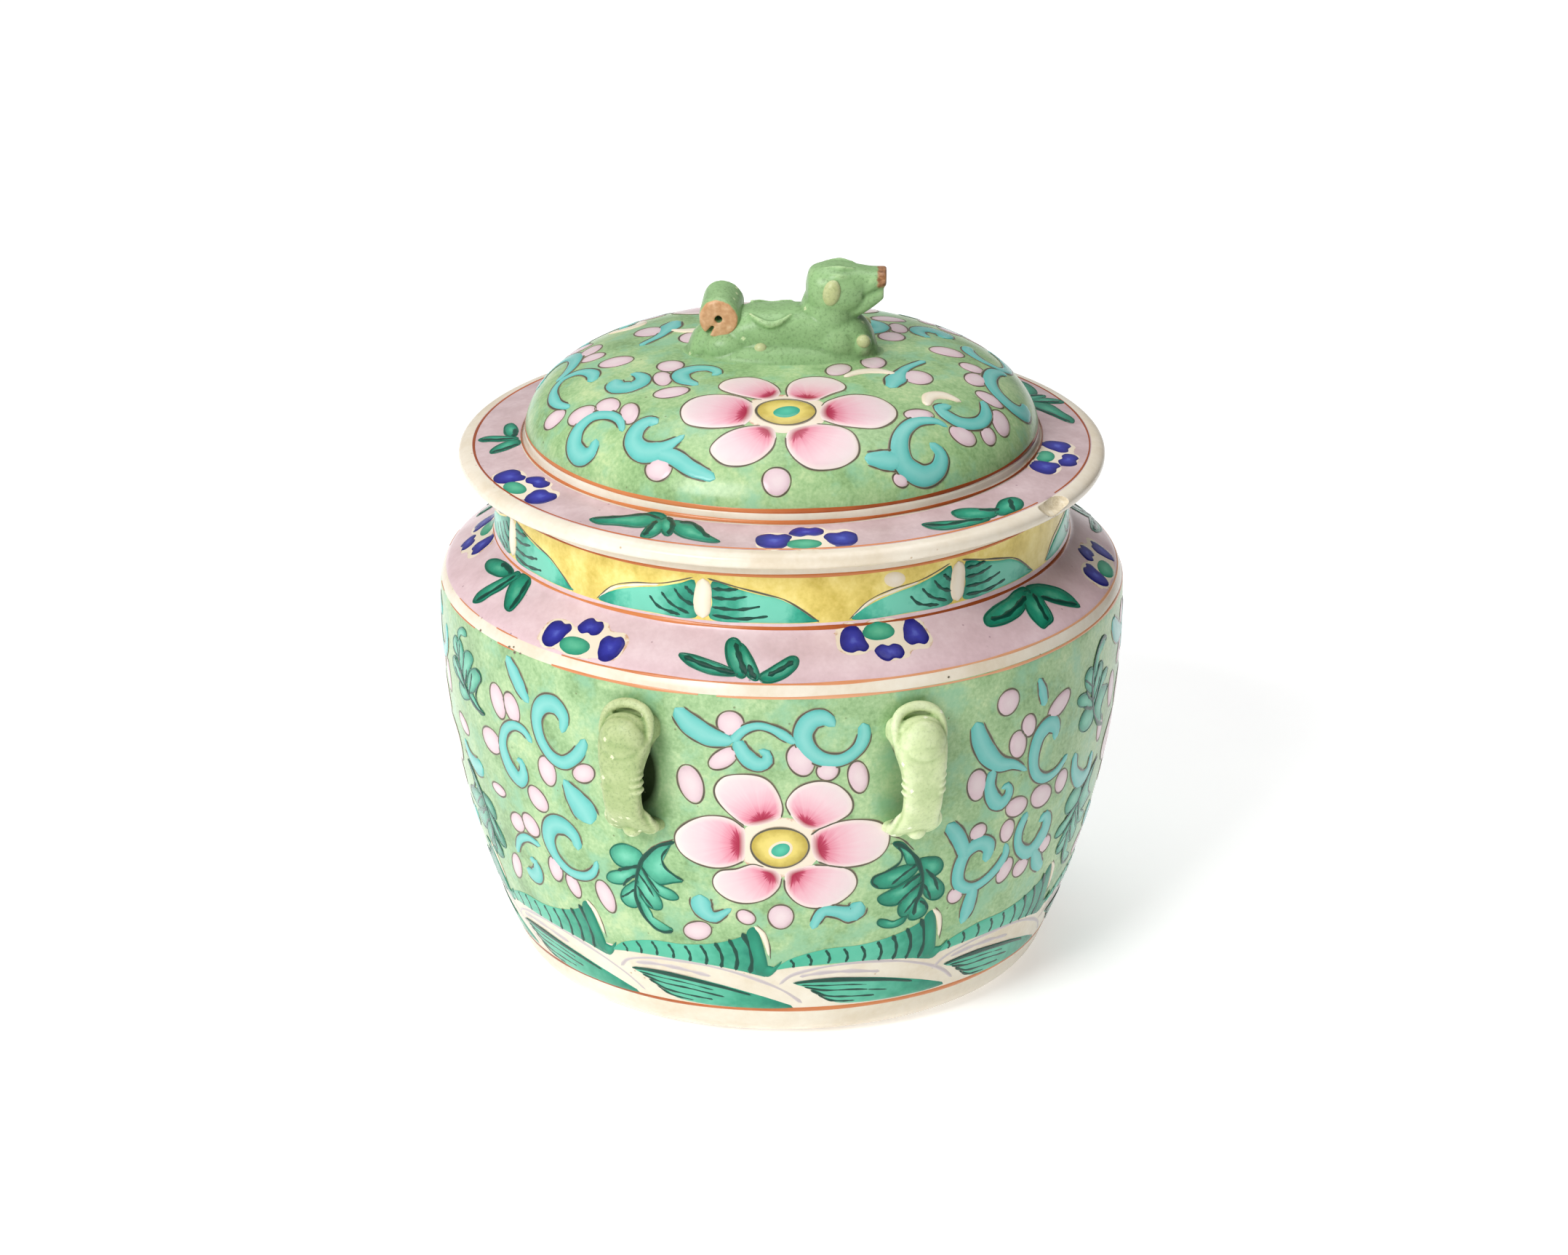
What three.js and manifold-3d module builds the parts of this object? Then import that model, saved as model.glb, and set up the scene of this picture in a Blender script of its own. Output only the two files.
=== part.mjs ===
// A lidded porcelain jar: a thrown body with four pierced lugs, and a domed cover with a crouching lion knop.
// Millimetres, +Z up. The origin is the centre of the foot, and -Y is the painted front.
import * as THREE from "three";
import { mergeVertices } from "three/addons/utils/BufferGeometryUtils.js";
import Module from "manifold-3d";

const wasm = await Module();
wasm.setup();

// Driving sizes of the jar body
const bellyRadius = 75.5; // the widest radius, just under the shoulder
const bellyHeight = 84; // height of the widest radius
const heelRadius = 59.6; // where the belly curve meets the turned-in heel
const heelHeight = 7;
const bellyPower = 2.13; // how late the belly swells: 2 is a parabola
const footRadius = 52.2; // outside of the foot's flat
const footWidth = 4.6; // width of that flat
const footDepth = 2.6; // how far the base is recessed inside the foot
const floorThickness = 4.6;
const bodyWall = 4.2;
const shoulderDrop = 1.6; // height of the rounded edge between belly and shoulder
const shoulderRise = 8.2; // height of the sloping shoulder
const neckRadius = 63;
const neckHeight = 15.6; // from the shoulder to the rim
const neckWall = 4;
const rimRound = 0.9;

// Driving sizes of the cover
const seatGap = 0.3; // air left between pieces that touch
const flangeRadius = 70.7;
const flangeThickness = 3.4;
const flangeFall = 1.7; // how much lower the flange is at its edge than at the dome
const lipRound = 1.5;
const collarClearance = 0.7; // between the cover's collar and the inside of the neck
const collarDepth = 7;
const collarWall = 3;
const domeRadius = 56.1;
const domeStep = 2.2; // the upright step at the dome's foot
const domeRise = 17.1; // from the step to the crown
const domeSidePower = 4; // a higher power makes a flatter crown
const domeCrownPower = 1.75; // a lower power makes a steeper side
const domeWall = 4;
const chipAzimuth = 57.7; // degrees from the front towards +X
const chipRadius = 2.6;
const chipStretch = 1.9; // the chip's length along the rim over its depth

// Driving sizes of a lug: a strap that leaves the wall, stands clear of it and comes back
const lugAzimuth = 22.8; // degrees each side of the front, and of the back
const lugTopHeight = 78.6; // middle of the upper root
const lugBottomHeight = 54.8; // middle of the lower root
const lugStandOff = 7.3; // from the wall to the middle of the strap
const lugHeadWidth = 12.2;
const lugWaistWidth = 8.8;
const lugTailWidth = 12.6;
const lugHeadThickness = 9.2;
const lugWaistThickness = 3.9;
const lugTailThickness = 4.8;
const lugRootDepth = 4; // how far the strap's ends reach back before the wall trims them
const maskRadius = 4.7; // half the width of the boss on the lug's head
const hoodRise = 5.2; // from the middle of the upper root to the crest of the hood over the head
const hoodRadius = 0.95;
const ribCount = 3;
const ribRadius = 0.9;

// Driving sizes of the lion. Heights are measured from the crown of the dome.
const tailEnd = -20.6; // where the rump meets the dome, from the jar's axis
const chestEnd = 21;
const lionHalfWidth = 7.2;
const backHeight = 8.9;
const neckMiddle = 10.4; // distance of the neck's middle from the jar's axis
const throatRadius = 6.6;
const headBack = 4.8;
const snoutEnd = 22.9;
const headHalfWidth = 6.2;
const headTop = 20.4;
const headBottom = 8.6;
const snoutHalfWidth = 3.8;
const jawGap = 0.6; // the slightly open mouth
const earLength = 6;
const earWidth = 4.4;
const earStandOff = 1.5;
const pawRadius = 1.7;
const tailRadius = 4.6;
const tailLength = 10.4;
const tailMiddle = [-13.2, -0.5, 9.2];
const tailBore = 0.9; // radius of the hole that the rolled tail leaves
const tailSlot = 1.1;
const tailTurn = 4; // degrees that the roll points away from straight ahead

// Fineness of the facets
const turnSegments = 60;
const bellySteps = 9;
const insideSteps = 5;
const domeSteps = 9;
const curveSteps = 4;
const lugSteps = 15;
const lugSides = 12;
const hoodSides = 6;
const finest = 0.02; // edges shorter than this are closed up
const lionSides = 14;

const degrees = Math.PI / 180;
const shoulderEdgeHeight = bellyHeight + shoulderDrop + 3.4;
const neckFootHeight = shoulderEdgeHeight + shoulderRise + 0.7;
const rimHeight = neckFootHeight + neckHeight;
const flangeBottom = rimHeight + seatGap;
const flangeEdgeTop = flangeBottom + flangeThickness;
const domeFootHeight = flangeEdgeTop + flangeFall + domeStep;
const crownHeight = domeFootHeight + domeRise;
const floorHeight = footDepth + floorThickness;
const mouthRadius = neckRadius - neckWall;
const collarRadius = mouthRadius - collarClearance;

// Turns a closed three.js geometry into a solid.
function solidFrom(geometry) {
  const bare = geometry.clone();
  bare.deleteAttribute("normal");
  bare.deleteAttribute("uv");
  const merged = mergeVertices(bare, 1e-4);
  const corners = [];
  const index = merged.index.array;
  for (let i = 0; i < index.length; i += 3) {
    const [a, b, c] = [index[i], index[i + 1], index[i + 2]];
    if (a !== b && b !== c && c !== a) corners.push(a, b, c);
  }
  const mesh = new wasm.Mesh({
    numProp: 3,
    vertProperties: merged.attributes.position.array,
    triVerts: new Uint32Array(corners),
  });
  return new wasm.Manifold(mesh);
}

// Turns a solid back into a named three.js mesh.
function meshFrom(name, solid, material) {
  const made = solid.getMesh();
  const geometry = new THREE.BufferGeometry();
  geometry.setAttribute("position", new THREE.BufferAttribute(made.vertProperties, 3));
  geometry.setIndex(new THREE.BufferAttribute(made.triVerts, 1));
  geometry.computeVertexNormals();
  const mesh = new THREE.Mesh(geometry, material);
  mesh.name = name;
  return mesh;
}

// Revolves a profile of [radius, height] points about the upright axis.
function turned(profile) {
  const points = profile.map(([radius, height]) => new THREE.Vector2(radius, height));
  return solidFrom(new THREE.LatheGeometry(points, turnSegments).rotateX(Math.PI / 2));
}

// Points of a curve that leaves a towards the corner and arrives at b.
function bend(a, corner, b) {
  const [start, middle, end] = [a, corner, b].map(([x, y]) => new THREE.Vector2(x, y));
  return new THREE.QuadraticBezierCurve(start, middle, end).getPoints(curveSteps).map((p) => [p.x, p.y]);
}

// Outer radius of the belly at a height: it grows by a power law up to the widest radius.
function bellyAt(height) {
  const below = Math.max(0, bellyHeight - height) / (bellyHeight - heelHeight);
  return bellyRadius - (bellyRadius - heelRadius) * below ** bellyPower;
}

// Heights spread evenly from low to high, ends included.
function spread(low, high, steps) {
  return Array.from({ length: steps + 1 }, (_, i) => low + ((high - low) * i) / steps);
}

// The outside of the jar from foot to shoulder edge, moved outwards by grow.
function bellyOutline(grow) {
  const heel = bend([footRadius, 0], [heelRadius - 1.6, 0.8], [bellyAt(heelHeight), heelHeight]);
  const belly = spread(heelHeight, bellyHeight + 2, bellySteps).slice(1).map((z) => [bellyAt(z), z]);
  const edge = bend(
    [bellyRadius, bellyHeight + 2],
    [bellyRadius - 0.3, shoulderEdgeHeight],
    [bellyRadius - 2.3, shoulderEdgeHeight + shoulderDrop],
  ).slice(1);
  return [...heel, ...belly, ...edge].map(([radius, height]) => [radius + grow, height]);
}

// The jar body: foot, heel, belly, sloping shoulder, upright neck, and an open inside of even thickness.
function jarBody() {
  const footInner = footRadius - footWidth;
  const underside = [
    [0, footDepth],
    [footInner - 1.2, footDepth],
    [footInner, 0],
  ];
  const shoulderToNeck = bend(
    [neckRadius + 1.6, neckFootHeight - 1.2],
    [neckRadius + 0.2, neckFootHeight - 0.2],
    [neckRadius, neckFootHeight + 1.6],
  );
  const rim = [
    [neckRadius, rimHeight - rimRound],
    [neckRadius - rimRound, rimHeight],
    [mouthRadius + rimRound, rimHeight],
    [mouthRadius, rimHeight - rimRound],
  ];
  const insideShoulder = bend(
    [mouthRadius, neckFootHeight - 2],
    [bellyRadius - bodyWall, shoulderEdgeHeight - 1],
    [bellyRadius - bodyWall, bellyHeight],
  );
  const cornerHeight = floorHeight + 8;
  const insideWall = spread(cornerHeight, bellyHeight, insideSteps)
    .slice(0, -1)
    .reverse()
    .map((z) => [bellyAt(z) - bodyWall, z]);
  const wallFoot = bellyAt(cornerHeight) - bodyWall;
  const insideCorner = bend(
    [wallFoot, cornerHeight],
    [wallFoot - 2.5, floorHeight],
    [wallFoot - 12, floorHeight],
  ).slice(1);
  return turned([
    ...underside,
    ...bellyOutline(0),
    ...shoulderToNeck,
    ...rim,
    ...insideShoulder,
    ...insideWall,
    ...insideCorner,
    [0, floorHeight],
  ]);
}

// A dome's side from its foot to the axis: (r/R)^side + (h/H)^crown = 1.
function domeCurve(radius, foot, rise, steps = domeSteps) {
  return spread(0, Math.PI / 2, steps).map((angle) => [
    radius * Math.max(0, Math.cos(angle)) ** (2 / domeSidePower),
    foot + rise * Math.sin(angle) ** (2 / domeCrownPower),
  ]);
}

// The cover: a hollow dome on a broad flange with a rounded lip, and a collar that drops into the neck.
function coverShell() {
  const collarInner = collarRadius - collarWall;
  const ceiling = crownHeight - domeWall - flangeBottom - 2;
  const inside = domeCurve(domeRadius - domeWall, flangeBottom + 2, ceiling, insideSteps);
  inside[inside.length - 1][0] = 0;
  const collar = [
    [collarInner, flangeBottom],
    [collarInner, flangeBottom - collarDepth],
    [collarRadius - 0.6, flangeBottom - collarDepth],
    [collarRadius, flangeBottom - collarDepth + 0.8],
    [collarRadius, flangeBottom],
  ];
  const underLip = bend(
    [flangeRadius - lipRound, flangeBottom],
    [flangeRadius, flangeBottom],
    [flangeRadius, flangeBottom + flangeThickness / 2],
  );
  const overLip = bend(
    [flangeRadius, flangeBottom + flangeThickness / 2],
    [flangeRadius, flangeEdgeTop - 0.2],
    [flangeRadius - 2 * lipRound, flangeEdgeTop + 0.1],
  ).slice(1);
  const step = [
    [domeRadius + 0.9, flangeEdgeTop + flangeFall],
    [domeRadius + 0.3, domeFootHeight - 0.5],
  ];
  const dome = domeCurve(domeRadius, domeFootHeight, domeRise);
  dome[dome.length - 1][0] = 0;
  const shell = turned([...inside.reverse(), ...collar, ...underLip, ...overLip, ...step, ...dome]);
  const chip = solidFrom(
    new THREE.SphereGeometry(chipRadius, 12, 8)
      .scale(chipStretch, 1, 1)
      .translate(0, -(flangeRadius + chipRadius * 0.3), flangeEdgeTop + chipRadius * 0.2)
      .rotateZ(chipAzimuth * degrees),
  );
  return shell.subtract(chip);
}

// Closes a row of rings, each with the same number of points, into a solid.
function loft(rings) {
  const sides = rings[0].length;
  const points = rings.flat();
  const faces = [];
  for (let i = 0; i + 1 < rings.length; i += 1) {
    for (let j = 0; j < sides; j += 1) {
      const [a, b] = [i * sides + j, i * sides + ((j + 1) % sides)];
      faces.push(a, b, a + sides, b, b + sides, a + sides);
    }
  }
  const last = (rings.length - 1) * sides;
  for (const [ring, from] of [
    [rings[0], 0],
    [rings[rings.length - 1], last],
  ]) {
    const middle = ring.reduce((sum, p) => sum.add(p), new THREE.Vector3()).divideScalar(sides);
    const hub = points.push(middle) - 1;
    for (let j = 0; j < sides; j += 1) {
      const [a, b] = [from + j, from + ((j + 1) % sides)];
      if (from === 0) faces.push(hub, b, a);
      else faces.push(hub, a, b);
    }
  }
  const geometry = new THREE.BufferGeometry().setFromPoints(points);
  geometry.setIndex(faces);
  return solidFrom(geometry);
}

// The middle value of a row of [place, value] pairs at a place between them, eased.
function between(stops, place) {
  const next = stops.findIndex(([at]) => at >= place);
  if (next <= 0) return stops[next === 0 ? 0 : stops.length - 1][1];
  const [[a, low], [b, high]] = [stops[next - 1], stops[next]];
  return low + (high - low) * THREE.MathUtils.smoothstep(place, a, b);
}

// The hood of a lug: a thin roll that arches over the head, close to the wall.
function hood() {
  // Places on the roll as [share of the half width, share of the rise, share of the stand-off].
  const stops = [[-0.88, -1.05, 0.46], [-0.91, 0, 0.36], [-0.62, 0.72, 0.26], [0, 1, 0.2]];
  const mirrored = stops.slice(0, -1).reverse().map(([across, up, out]) => [-across, up, out]);
  const places = [...stops, ...mirrored].map(([across, up, out]) => {
    const height = lugTopHeight + hoodRise * up;
    return new THREE.Vector3(bellyAt(height) + lugStandOff * out, (across * lugHeadWidth) / 2, height);
  });
  const path = new THREE.CatmullRomCurve3(places);
  const outward = new THREE.Vector3(1, 0, 0);
  const rings = spread(0, 1, 10).map((t) => {
    const side = path.getTangentAt(t).cross(outward).normalize();
    return Array.from({ length: hoodSides }, (_, j) => {
      const angle = (2 * Math.PI * j) / hoodSides;
      const at = path.getPointAt(t).addScaledVector(outward, hoodRadius * Math.cos(angle));
      return at.addScaledVector(side, hoodRadius * Math.sin(angle));
    });
  });
  return loft(rings);
}

// One lug: its strap follows a C-shaped path out from the wall and back, narrow at the waist.
// It is drawn on the +X side of the axis, trimmed by the wall, then turned to its azimuth.
function lug(azimuth) {
  const reach = lugTopHeight - lugBottomHeight;
  // Places on the path as [share of the stand-off, share of the way up].
  const stops = [[-0.1, 1], [0.2, 1], [0.78, 0.85], [1, 0.6], [0.98, 0.32], [0.62, 0.1], [0.15, 0.01], [-0.1, 0]];
  const place = ([out, up], i, all) => {
    const height = lugBottomHeight + reach * up;
    const root = i === 0 || i === all.length - 1;
    return new THREE.Vector3(bellyAt(height) + (root ? -lugRootDepth : lugStandOff * out), 0, height);
  };
  const path = new THREE.CatmullRomCurve3(stops.map(place));
  const waist = [[0.55, lugWaistWidth], [0.68, lugWaistWidth]];
  const width = [[0, lugHeadWidth * 0.94], [0.3, lugHeadWidth], ...waist, [1, lugTailWidth]];
  const thin = [[0.52, lugWaistThickness], [0.72, lugWaistThickness]];
  const thickness = [[0.12, lugHeadThickness], ...thin, [1, lugTailThickness]];
  const rings = spread(0, 1, lugSteps).map((t) => {
    const at = path.getPointAt(t);
    const along = path.getTangentAt(t);
    const outward = new THREE.Vector3(-along.z, 0, along.x);
    const [half, deep] = [between(width, t) / 2, between(thickness, t) / 2];
    return Array.from({ length: lugSides }, (_, j) => {
      const angle = (2 * Math.PI * j) / lugSides;
      const across = Math.sign(Math.cos(angle)) * Math.abs(Math.cos(angle)) ** 0.75 * half;
      return at.clone().addScaledVector(outward, deep * Math.sin(angle)).setY(across);
    });
  });
  const headAt = path.getPointAt(0.3);
  const mask = egg(headAt.x + 1.1, 0, headAt.z, maskRadius * 0.72, maskRadius, maskRadius * 1.05);
  let strap = loft(rings).add(mask).add(hood());
  for (let i = 0; i < ribCount; i += 1) {
    const at = path.getPointAt(0.5 + 0.075 * i);
    strap = strap.add(egg(at.x + 0.7, 0, at.z, lugWaistThickness / 2, lugWaistWidth / 2, ribRadius));
  }
  const outline = bellyOutline(seatGap);
  const wallSolid = turned([[0, 0], ...outline, [0, outline[outline.length - 1][1]]]);
  return strap.rotate([0, 0, azimuth - 90]).subtract(wallSolid).simplify(finest);
}

// An upright oval ring of points at x, between two heights above the crown.
// The powers below 1 make it boxier, across and upwards.
function oval(x, bottom, top, halfWidth, wide = 0.8, tall = 1) {
  const [middle, half] = [crownHeight + (bottom + top) / 2, (top - bottom) / 2];
  return Array.from({ length: lionSides }, (_, j) => {
    const angle = (2 * Math.PI * j) / lionSides;
    const across = Math.sign(Math.cos(angle)) * Math.abs(Math.cos(angle)) ** wide * halfWidth;
    const up = Math.sign(Math.sin(angle)) * Math.abs(Math.sin(angle)) ** tall * half;
    return new THREE.Vector3(x, across, middle + up);
  });
}

// An egg shape with its own three half sizes.
function egg(x, y, z, halfX, halfY, halfZ) {
  return solidFrom(new THREE.SphereGeometry(1, 10, 6).scale(halfX, halfY, halfZ).translate(x, y, z));
}

// Everything on one side of a plane through a point; the plane's normal leans by tilt degrees from +Z towards +X.
function halfSpace(x, z, tilt, above) {
  const size = 200;
  const block = new THREE.BoxGeometry(size, size, size).translate(0, 0, ((above ? 1 : -1) * size) / 2);
  return solidFrom(block.rotateY(tilt * degrees).translate(x, 0, z));
}

// The dome's outside, grown by the seat gap, for trimming what stands on it.
function domeSolid() {
  const curve = domeCurve(domeRadius + seatGap, domeFootHeight, domeRise + seatGap);
  curve[curve.length - 1][0] = 0;
  return turned([[0, domeFootHeight - domeStep], [domeRadius + seatGap, domeFootHeight - domeStep], ...curve]);
}

// The crouching body: rump, sagging back and chest, with a knee and a paw on each side.
function lionTrunk() {
  const hips = -13;
  const stops = [
    [tailEnd, 1, 0.3],
    [tailEnd + 1.6, backHeight * 0.62, 0.66],
    [tailEnd + 4.6, backHeight * 0.9, 0.9],
    [hips, backHeight * 0.97, 1],
    [hips + 7, backHeight, 0.95],
    [-1, backHeight * 0.97, 0.92],
    [neckMiddle - throatRadius, backHeight * 1.05, 0.94],
    [neckMiddle, backHeight * 1.1, 1],
    [chestEnd - 4.6, backHeight * 0.92, 0.9],
    [chestEnd - 1.4, backHeight * 0.6, 0.66],
    [chestEnd, 1, 0.3],
  ];
  const below = -2.5;
  let trunk = loft(stops.map(([x, top, share]) => oval(x, below, top, lionHalfWidth * share, 0.62, 0.8)));
  for (const side of [-1, 1]) {
    const flank = side * lionHalfWidth;
    trunk = trunk
      .add(egg(hips, flank * 0.66, crownHeight + 2.2, 5.6, 3.2, 3.9))
      .add(egg(hips + 8.6, flank * 0.86, crownHeight + 2.6, pawRadius, pawRadius, pawRadius))
      .add(egg(neckMiddle + 1, flank * 0.72, crownHeight + 3.2, 5, 2.8, 4.4))
      .add(egg(chestEnd - 3.2, flank * 0.78, crownHeight + 4, pawRadius, pawRadius, pawRadius));
  }
  return trunk;
}

// The raised head: skull, snout with an open jaw, brows, and the neck that carries it.
function lionHead() {
  const middle = (headTop + headBottom) / 2;
  const face = [
    [headBack, middle + 0.4, middle + 1.6, 1.6],
    [headBack + 0.8, middle - 3, middle + 3.6, 4],
    [headBack + 3, headBottom, headTop - 0.7, headHalfWidth * 0.94],
    [headBack + 7, headBottom - 0.2, headTop, headHalfWidth],
    [headBack + 11, headBottom - 0.1, headTop - 0.4, headHalfWidth * 0.8],
    [snoutEnd - 4, headBottom + 0.7, headTop - 1.1, snoutHalfWidth * 1.06],
    [snoutEnd - 1.2, headBottom + 2.4, headTop - 1.3, snoutHalfWidth],
    [snoutEnd, headBottom + 3.4, headTop - 1.6, snoutHalfWidth * 0.88],
  ].map(([x, bottom, top, wide]) => oval(x, bottom, top, wide));
  const neck = [
    [-0.6, 1, 1.1],
    [-0.4, backHeight * 0.8, 1.04],
    [0, backHeight + 2, 0.98],
    [0.6, middle, 0.86],
  ].map(([forward, height, share]) =>
    Array.from({ length: lionSides }, (_, j) => {
      const angle = (2 * Math.PI * j) / lionSides;
      const radius = throatRadius * share;
      const x = neckMiddle + forward + radius * Math.cos(angle);
      return new THREE.Vector3(x, radius * 0.92 * Math.sin(angle), crownHeight + height);
    }),
  );
  const mouth = solidFrom(
    new THREE.BoxGeometry(7, 3 * snoutHalfWidth, jawGap)
      .rotateY(-30 * degrees)
      .translate(snoutEnd - 1.7, 0, crownHeight + headBottom + 5.6),
  );
  let head = loft(face).add(loft(neck)).subtract(mouth);
  for (const side of [-1, 1]) {
    head = head.add(egg(headBack + 7.6, side * 4.1, crownHeight + headTop - 2.7, 2.4, 1.5, 1));
  }
  return head;
}

// A drooping ear: half an egg that lies against the side of the head.
function lionEar(side) {
  const [x, height] = [headBack + 6, crownHeight + headBottom + 6.2];
  return egg(x, side * (headHalfWidth - 0.9), height, earWidth / 2, earStandOff + 0.9, earLength / 2);
}

// The rolled tail: a short thick tube with a slot from its bore to the outside, lying across the rump.
function lionTail() {
  const mouthAngle = Math.asin(tailSlot / 2 / tailRadius);
  const boreAngle = Math.asin(tailSlot / 2 / tailBore);
  const roll = new THREE.Shape();
  roll.absarc(0, 0, tailRadius, mouthAngle, 2 * Math.PI - mouthAngle, false);
  roll.absarc(0, 0, tailBore, 2 * Math.PI - boreAngle, boreAngle, true);
  roll.closePath();
  const slotTurn = 235 * degrees;
  const geometry = new THREE.ExtrudeGeometry(roll, { depth: tailLength, bevelEnabled: false, curveSegments: 12 })
    .translate(0, 0, -tailLength / 2)
    .rotateZ(slotTurn)
    .rotateX(Math.PI / 2);
  return solidFrom(onRump(geometry));
}

// Moves a geometry that lies along Y at the origin to the place of the rolled tail.
function onRump(geometry) {
  const [x, y, height] = tailMiddle;
  return geometry.rotateZ(-tailTurn * degrees).translate(x, y, crownHeight + height);
}

// The colours of the fired glazes
const greenGlaze = new THREE.MeshStandardMaterial({ color: 0x9cc88c, roughness: 0.28, metalness: 0 });
const paleGreenGlaze = new THREE.MeshStandardMaterial({ color: 0xbccf96, roughness: 0.3, metalness: 0 });
const knopGlaze = new THREE.MeshStandardMaterial({ color: 0x97c58b, roughness: 0.3, metalness: 0 });

// The lion is cut along its luted joints, each left open by the seat gap.
const neckCut = backHeight + 0.9;
const neckLean = 12;
const overNeck = halfSpace(neckMiddle, crownHeight + neckCut + seatGap / 2, neckLean, true);
const underNeck = halfSpace(neckMiddle, crownHeight + neckCut - seatGap / 2, neckLean, false);
const wholeHead = lionHead();
const tailBed = solidFrom(
  onRump(new THREE.CylinderGeometry(tailRadius + seatGap, tailRadius + seatGap, tailLength + 2 * seatGap, 24)),
);
const rawHead = wholeHead.intersect(overNeck);
const trunk = lionTrunk().add(wholeHead).intersect(underNeck).subtract(tailBed).subtract(domeSolid());

const jar = new THREE.Group();
jar.add(meshFrom("jar_body", jarBody(), greenGlaze));
for (const [name, azimuth] of [
  ["lug_front_right", lugAzimuth],
  ["lug_back_right", 180 - lugAzimuth],
  ["lug_back_left", 180 + lugAzimuth],
  ["lug_front_left", -lugAzimuth],
]) {
  jar.add(meshFrom(name, lug(azimuth), paleGreenGlaze));
}
jar.add(meshFrom("cover", coverShell(), greenGlaze));
jar.add(meshFrom("lion_body", trunk, knopGlaze));
jar.add(meshFrom("lion_head", rawHead, knopGlaze));
for (const [name, side] of [
  ["lion_ear_right", -1],
  ["lion_ear_left", 1],
]) {
  const skull = wholeHead.translate([0, side * seatGap, 0]);
  jar.add(meshFrom(name, lionEar(side).subtract(skull).subtract(wholeHead), paleGreenGlaze));
}
jar.add(meshFrom("lion_tail", lionTail(), knopGlaze));

export default jar;
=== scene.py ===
# %% [markdown]
# # A lidded jar in painted enamels
# The jar is turned, so every surface here starts as a profile that is revolved. The painting is
# laid on top as thin, slightly raised brush strokes, as real enamel is. Sizes are in millimetres
# until they become mesh points in metres. A chart is a flat map of one zone of the pot: a is the
# way round and b is the way up, and both are measured in millimetres on the surface.

import math

import bpy
import numpy as np
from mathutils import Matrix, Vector


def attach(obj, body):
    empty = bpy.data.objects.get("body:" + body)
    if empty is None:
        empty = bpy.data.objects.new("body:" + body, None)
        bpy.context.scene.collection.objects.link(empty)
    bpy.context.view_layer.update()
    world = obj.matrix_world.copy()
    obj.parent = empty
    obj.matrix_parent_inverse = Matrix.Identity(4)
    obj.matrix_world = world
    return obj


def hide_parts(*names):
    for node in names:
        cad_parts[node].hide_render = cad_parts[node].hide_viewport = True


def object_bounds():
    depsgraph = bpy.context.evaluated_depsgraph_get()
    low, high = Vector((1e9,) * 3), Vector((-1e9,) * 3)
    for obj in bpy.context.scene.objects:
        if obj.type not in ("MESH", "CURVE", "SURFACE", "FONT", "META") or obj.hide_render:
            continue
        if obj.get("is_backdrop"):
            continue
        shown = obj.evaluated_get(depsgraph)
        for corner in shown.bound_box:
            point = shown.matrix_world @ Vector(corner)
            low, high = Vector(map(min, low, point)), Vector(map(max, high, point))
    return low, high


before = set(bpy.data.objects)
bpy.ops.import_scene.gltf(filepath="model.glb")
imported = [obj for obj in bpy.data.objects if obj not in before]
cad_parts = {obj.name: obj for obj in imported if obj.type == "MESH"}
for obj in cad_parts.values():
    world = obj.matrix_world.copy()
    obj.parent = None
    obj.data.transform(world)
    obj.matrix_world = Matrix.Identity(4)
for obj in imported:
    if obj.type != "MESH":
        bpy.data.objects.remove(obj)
cad_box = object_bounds()
print("CAD box", [[round(float(v), 4) for v in corner] for corner in cad_box])

# %% [markdown]
# ## Camera
# A long lens from 1.3 m, 21.8 degrees above the jar's middle, a little right of the painted front.

# %% Camera
aim = Vector((0, 0, 0.073))
azimuth, elevation, distance = math.radians(1.5), math.radians(21.8), 1.275
offset = Vector(
    (
        math.sin(azimuth) * math.cos(elevation),
        -math.cos(azimuth) * math.cos(elevation),
        math.sin(elevation),
    )
)
camera_data = bpy.data.cameras.new("camera")
camera = bpy.data.objects.new("camera", camera_data)
bpy.context.scene.collection.objects.link(camera)
camera.location = aim + offset * distance
camera.rotation_euler = (-offset).to_track_quat("-Z", "Y").to_euler()
camera_data.lens = 132.0
camera_data.sensor_width = 36.0
camera_data.shift_x = 3 / 2156
camera_data.dof.use_dof = False
bpy.context.scene.camera = camera
print("camera at", [round(v, 3) for v in camera.location])

# %% [markdown]
# ## Profiles
# Each profile is a list of (radius, height) pairs. The belly grows by a power law from the heel to
# its widest ring. The dome follows (r/R)^4 + (h/H)^1.75 = 1.

# %% Profiles
# The belly lies a quarter of a millimetre inside the CAD wall, which leaves room for raised enamel.
BELLY_R, BELLY_Z, HEEL_R, HEEL_Z, BELLY_POWER = 75.25, 84.0, 59.6, 7.0, 2.13
NECK_R, RIM_Z = 63.0, 113.5
FLANGE_R, FLANGE_Z = 70.7, 113.8
DOME_R, DOME_FOOT, DOME_RISE = 56.1, 121.1, 17.1
CROWN = DOME_FOOT + DOME_RISE
# the chip in the cover's lip: its way round, its height and its radius
CHIP_AZIMUTH, CHIP_Z, CHIP_R = math.radians(57.6), 118.3, 3.5
# thickness of the walls, the jar's floor inside, and where that floor starts to curve up
WALL, COVER_WALL, FLOOR_Z, FLOOR_BEND_Z = 4.2, 4, 7.2, 15.2
# heights on the belly where the cream foot ends, where the border ends and where the green ends
FOOT_CREAM_Z, BORDER_Z, GREEN_Z = 8.0, 20.6, 87.3
# where the neck's yellow starts and ends, and where the inner wall starts to widen below it
YELLOW_Z, YELLOW_TOP_Z, INNER_NECK_Z = 99.5, 109.7, 95.9
# the bare ring that the jar stands on is this high above the paper, which keeps the two apart
FOOT_LIFT = 0.02
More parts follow.
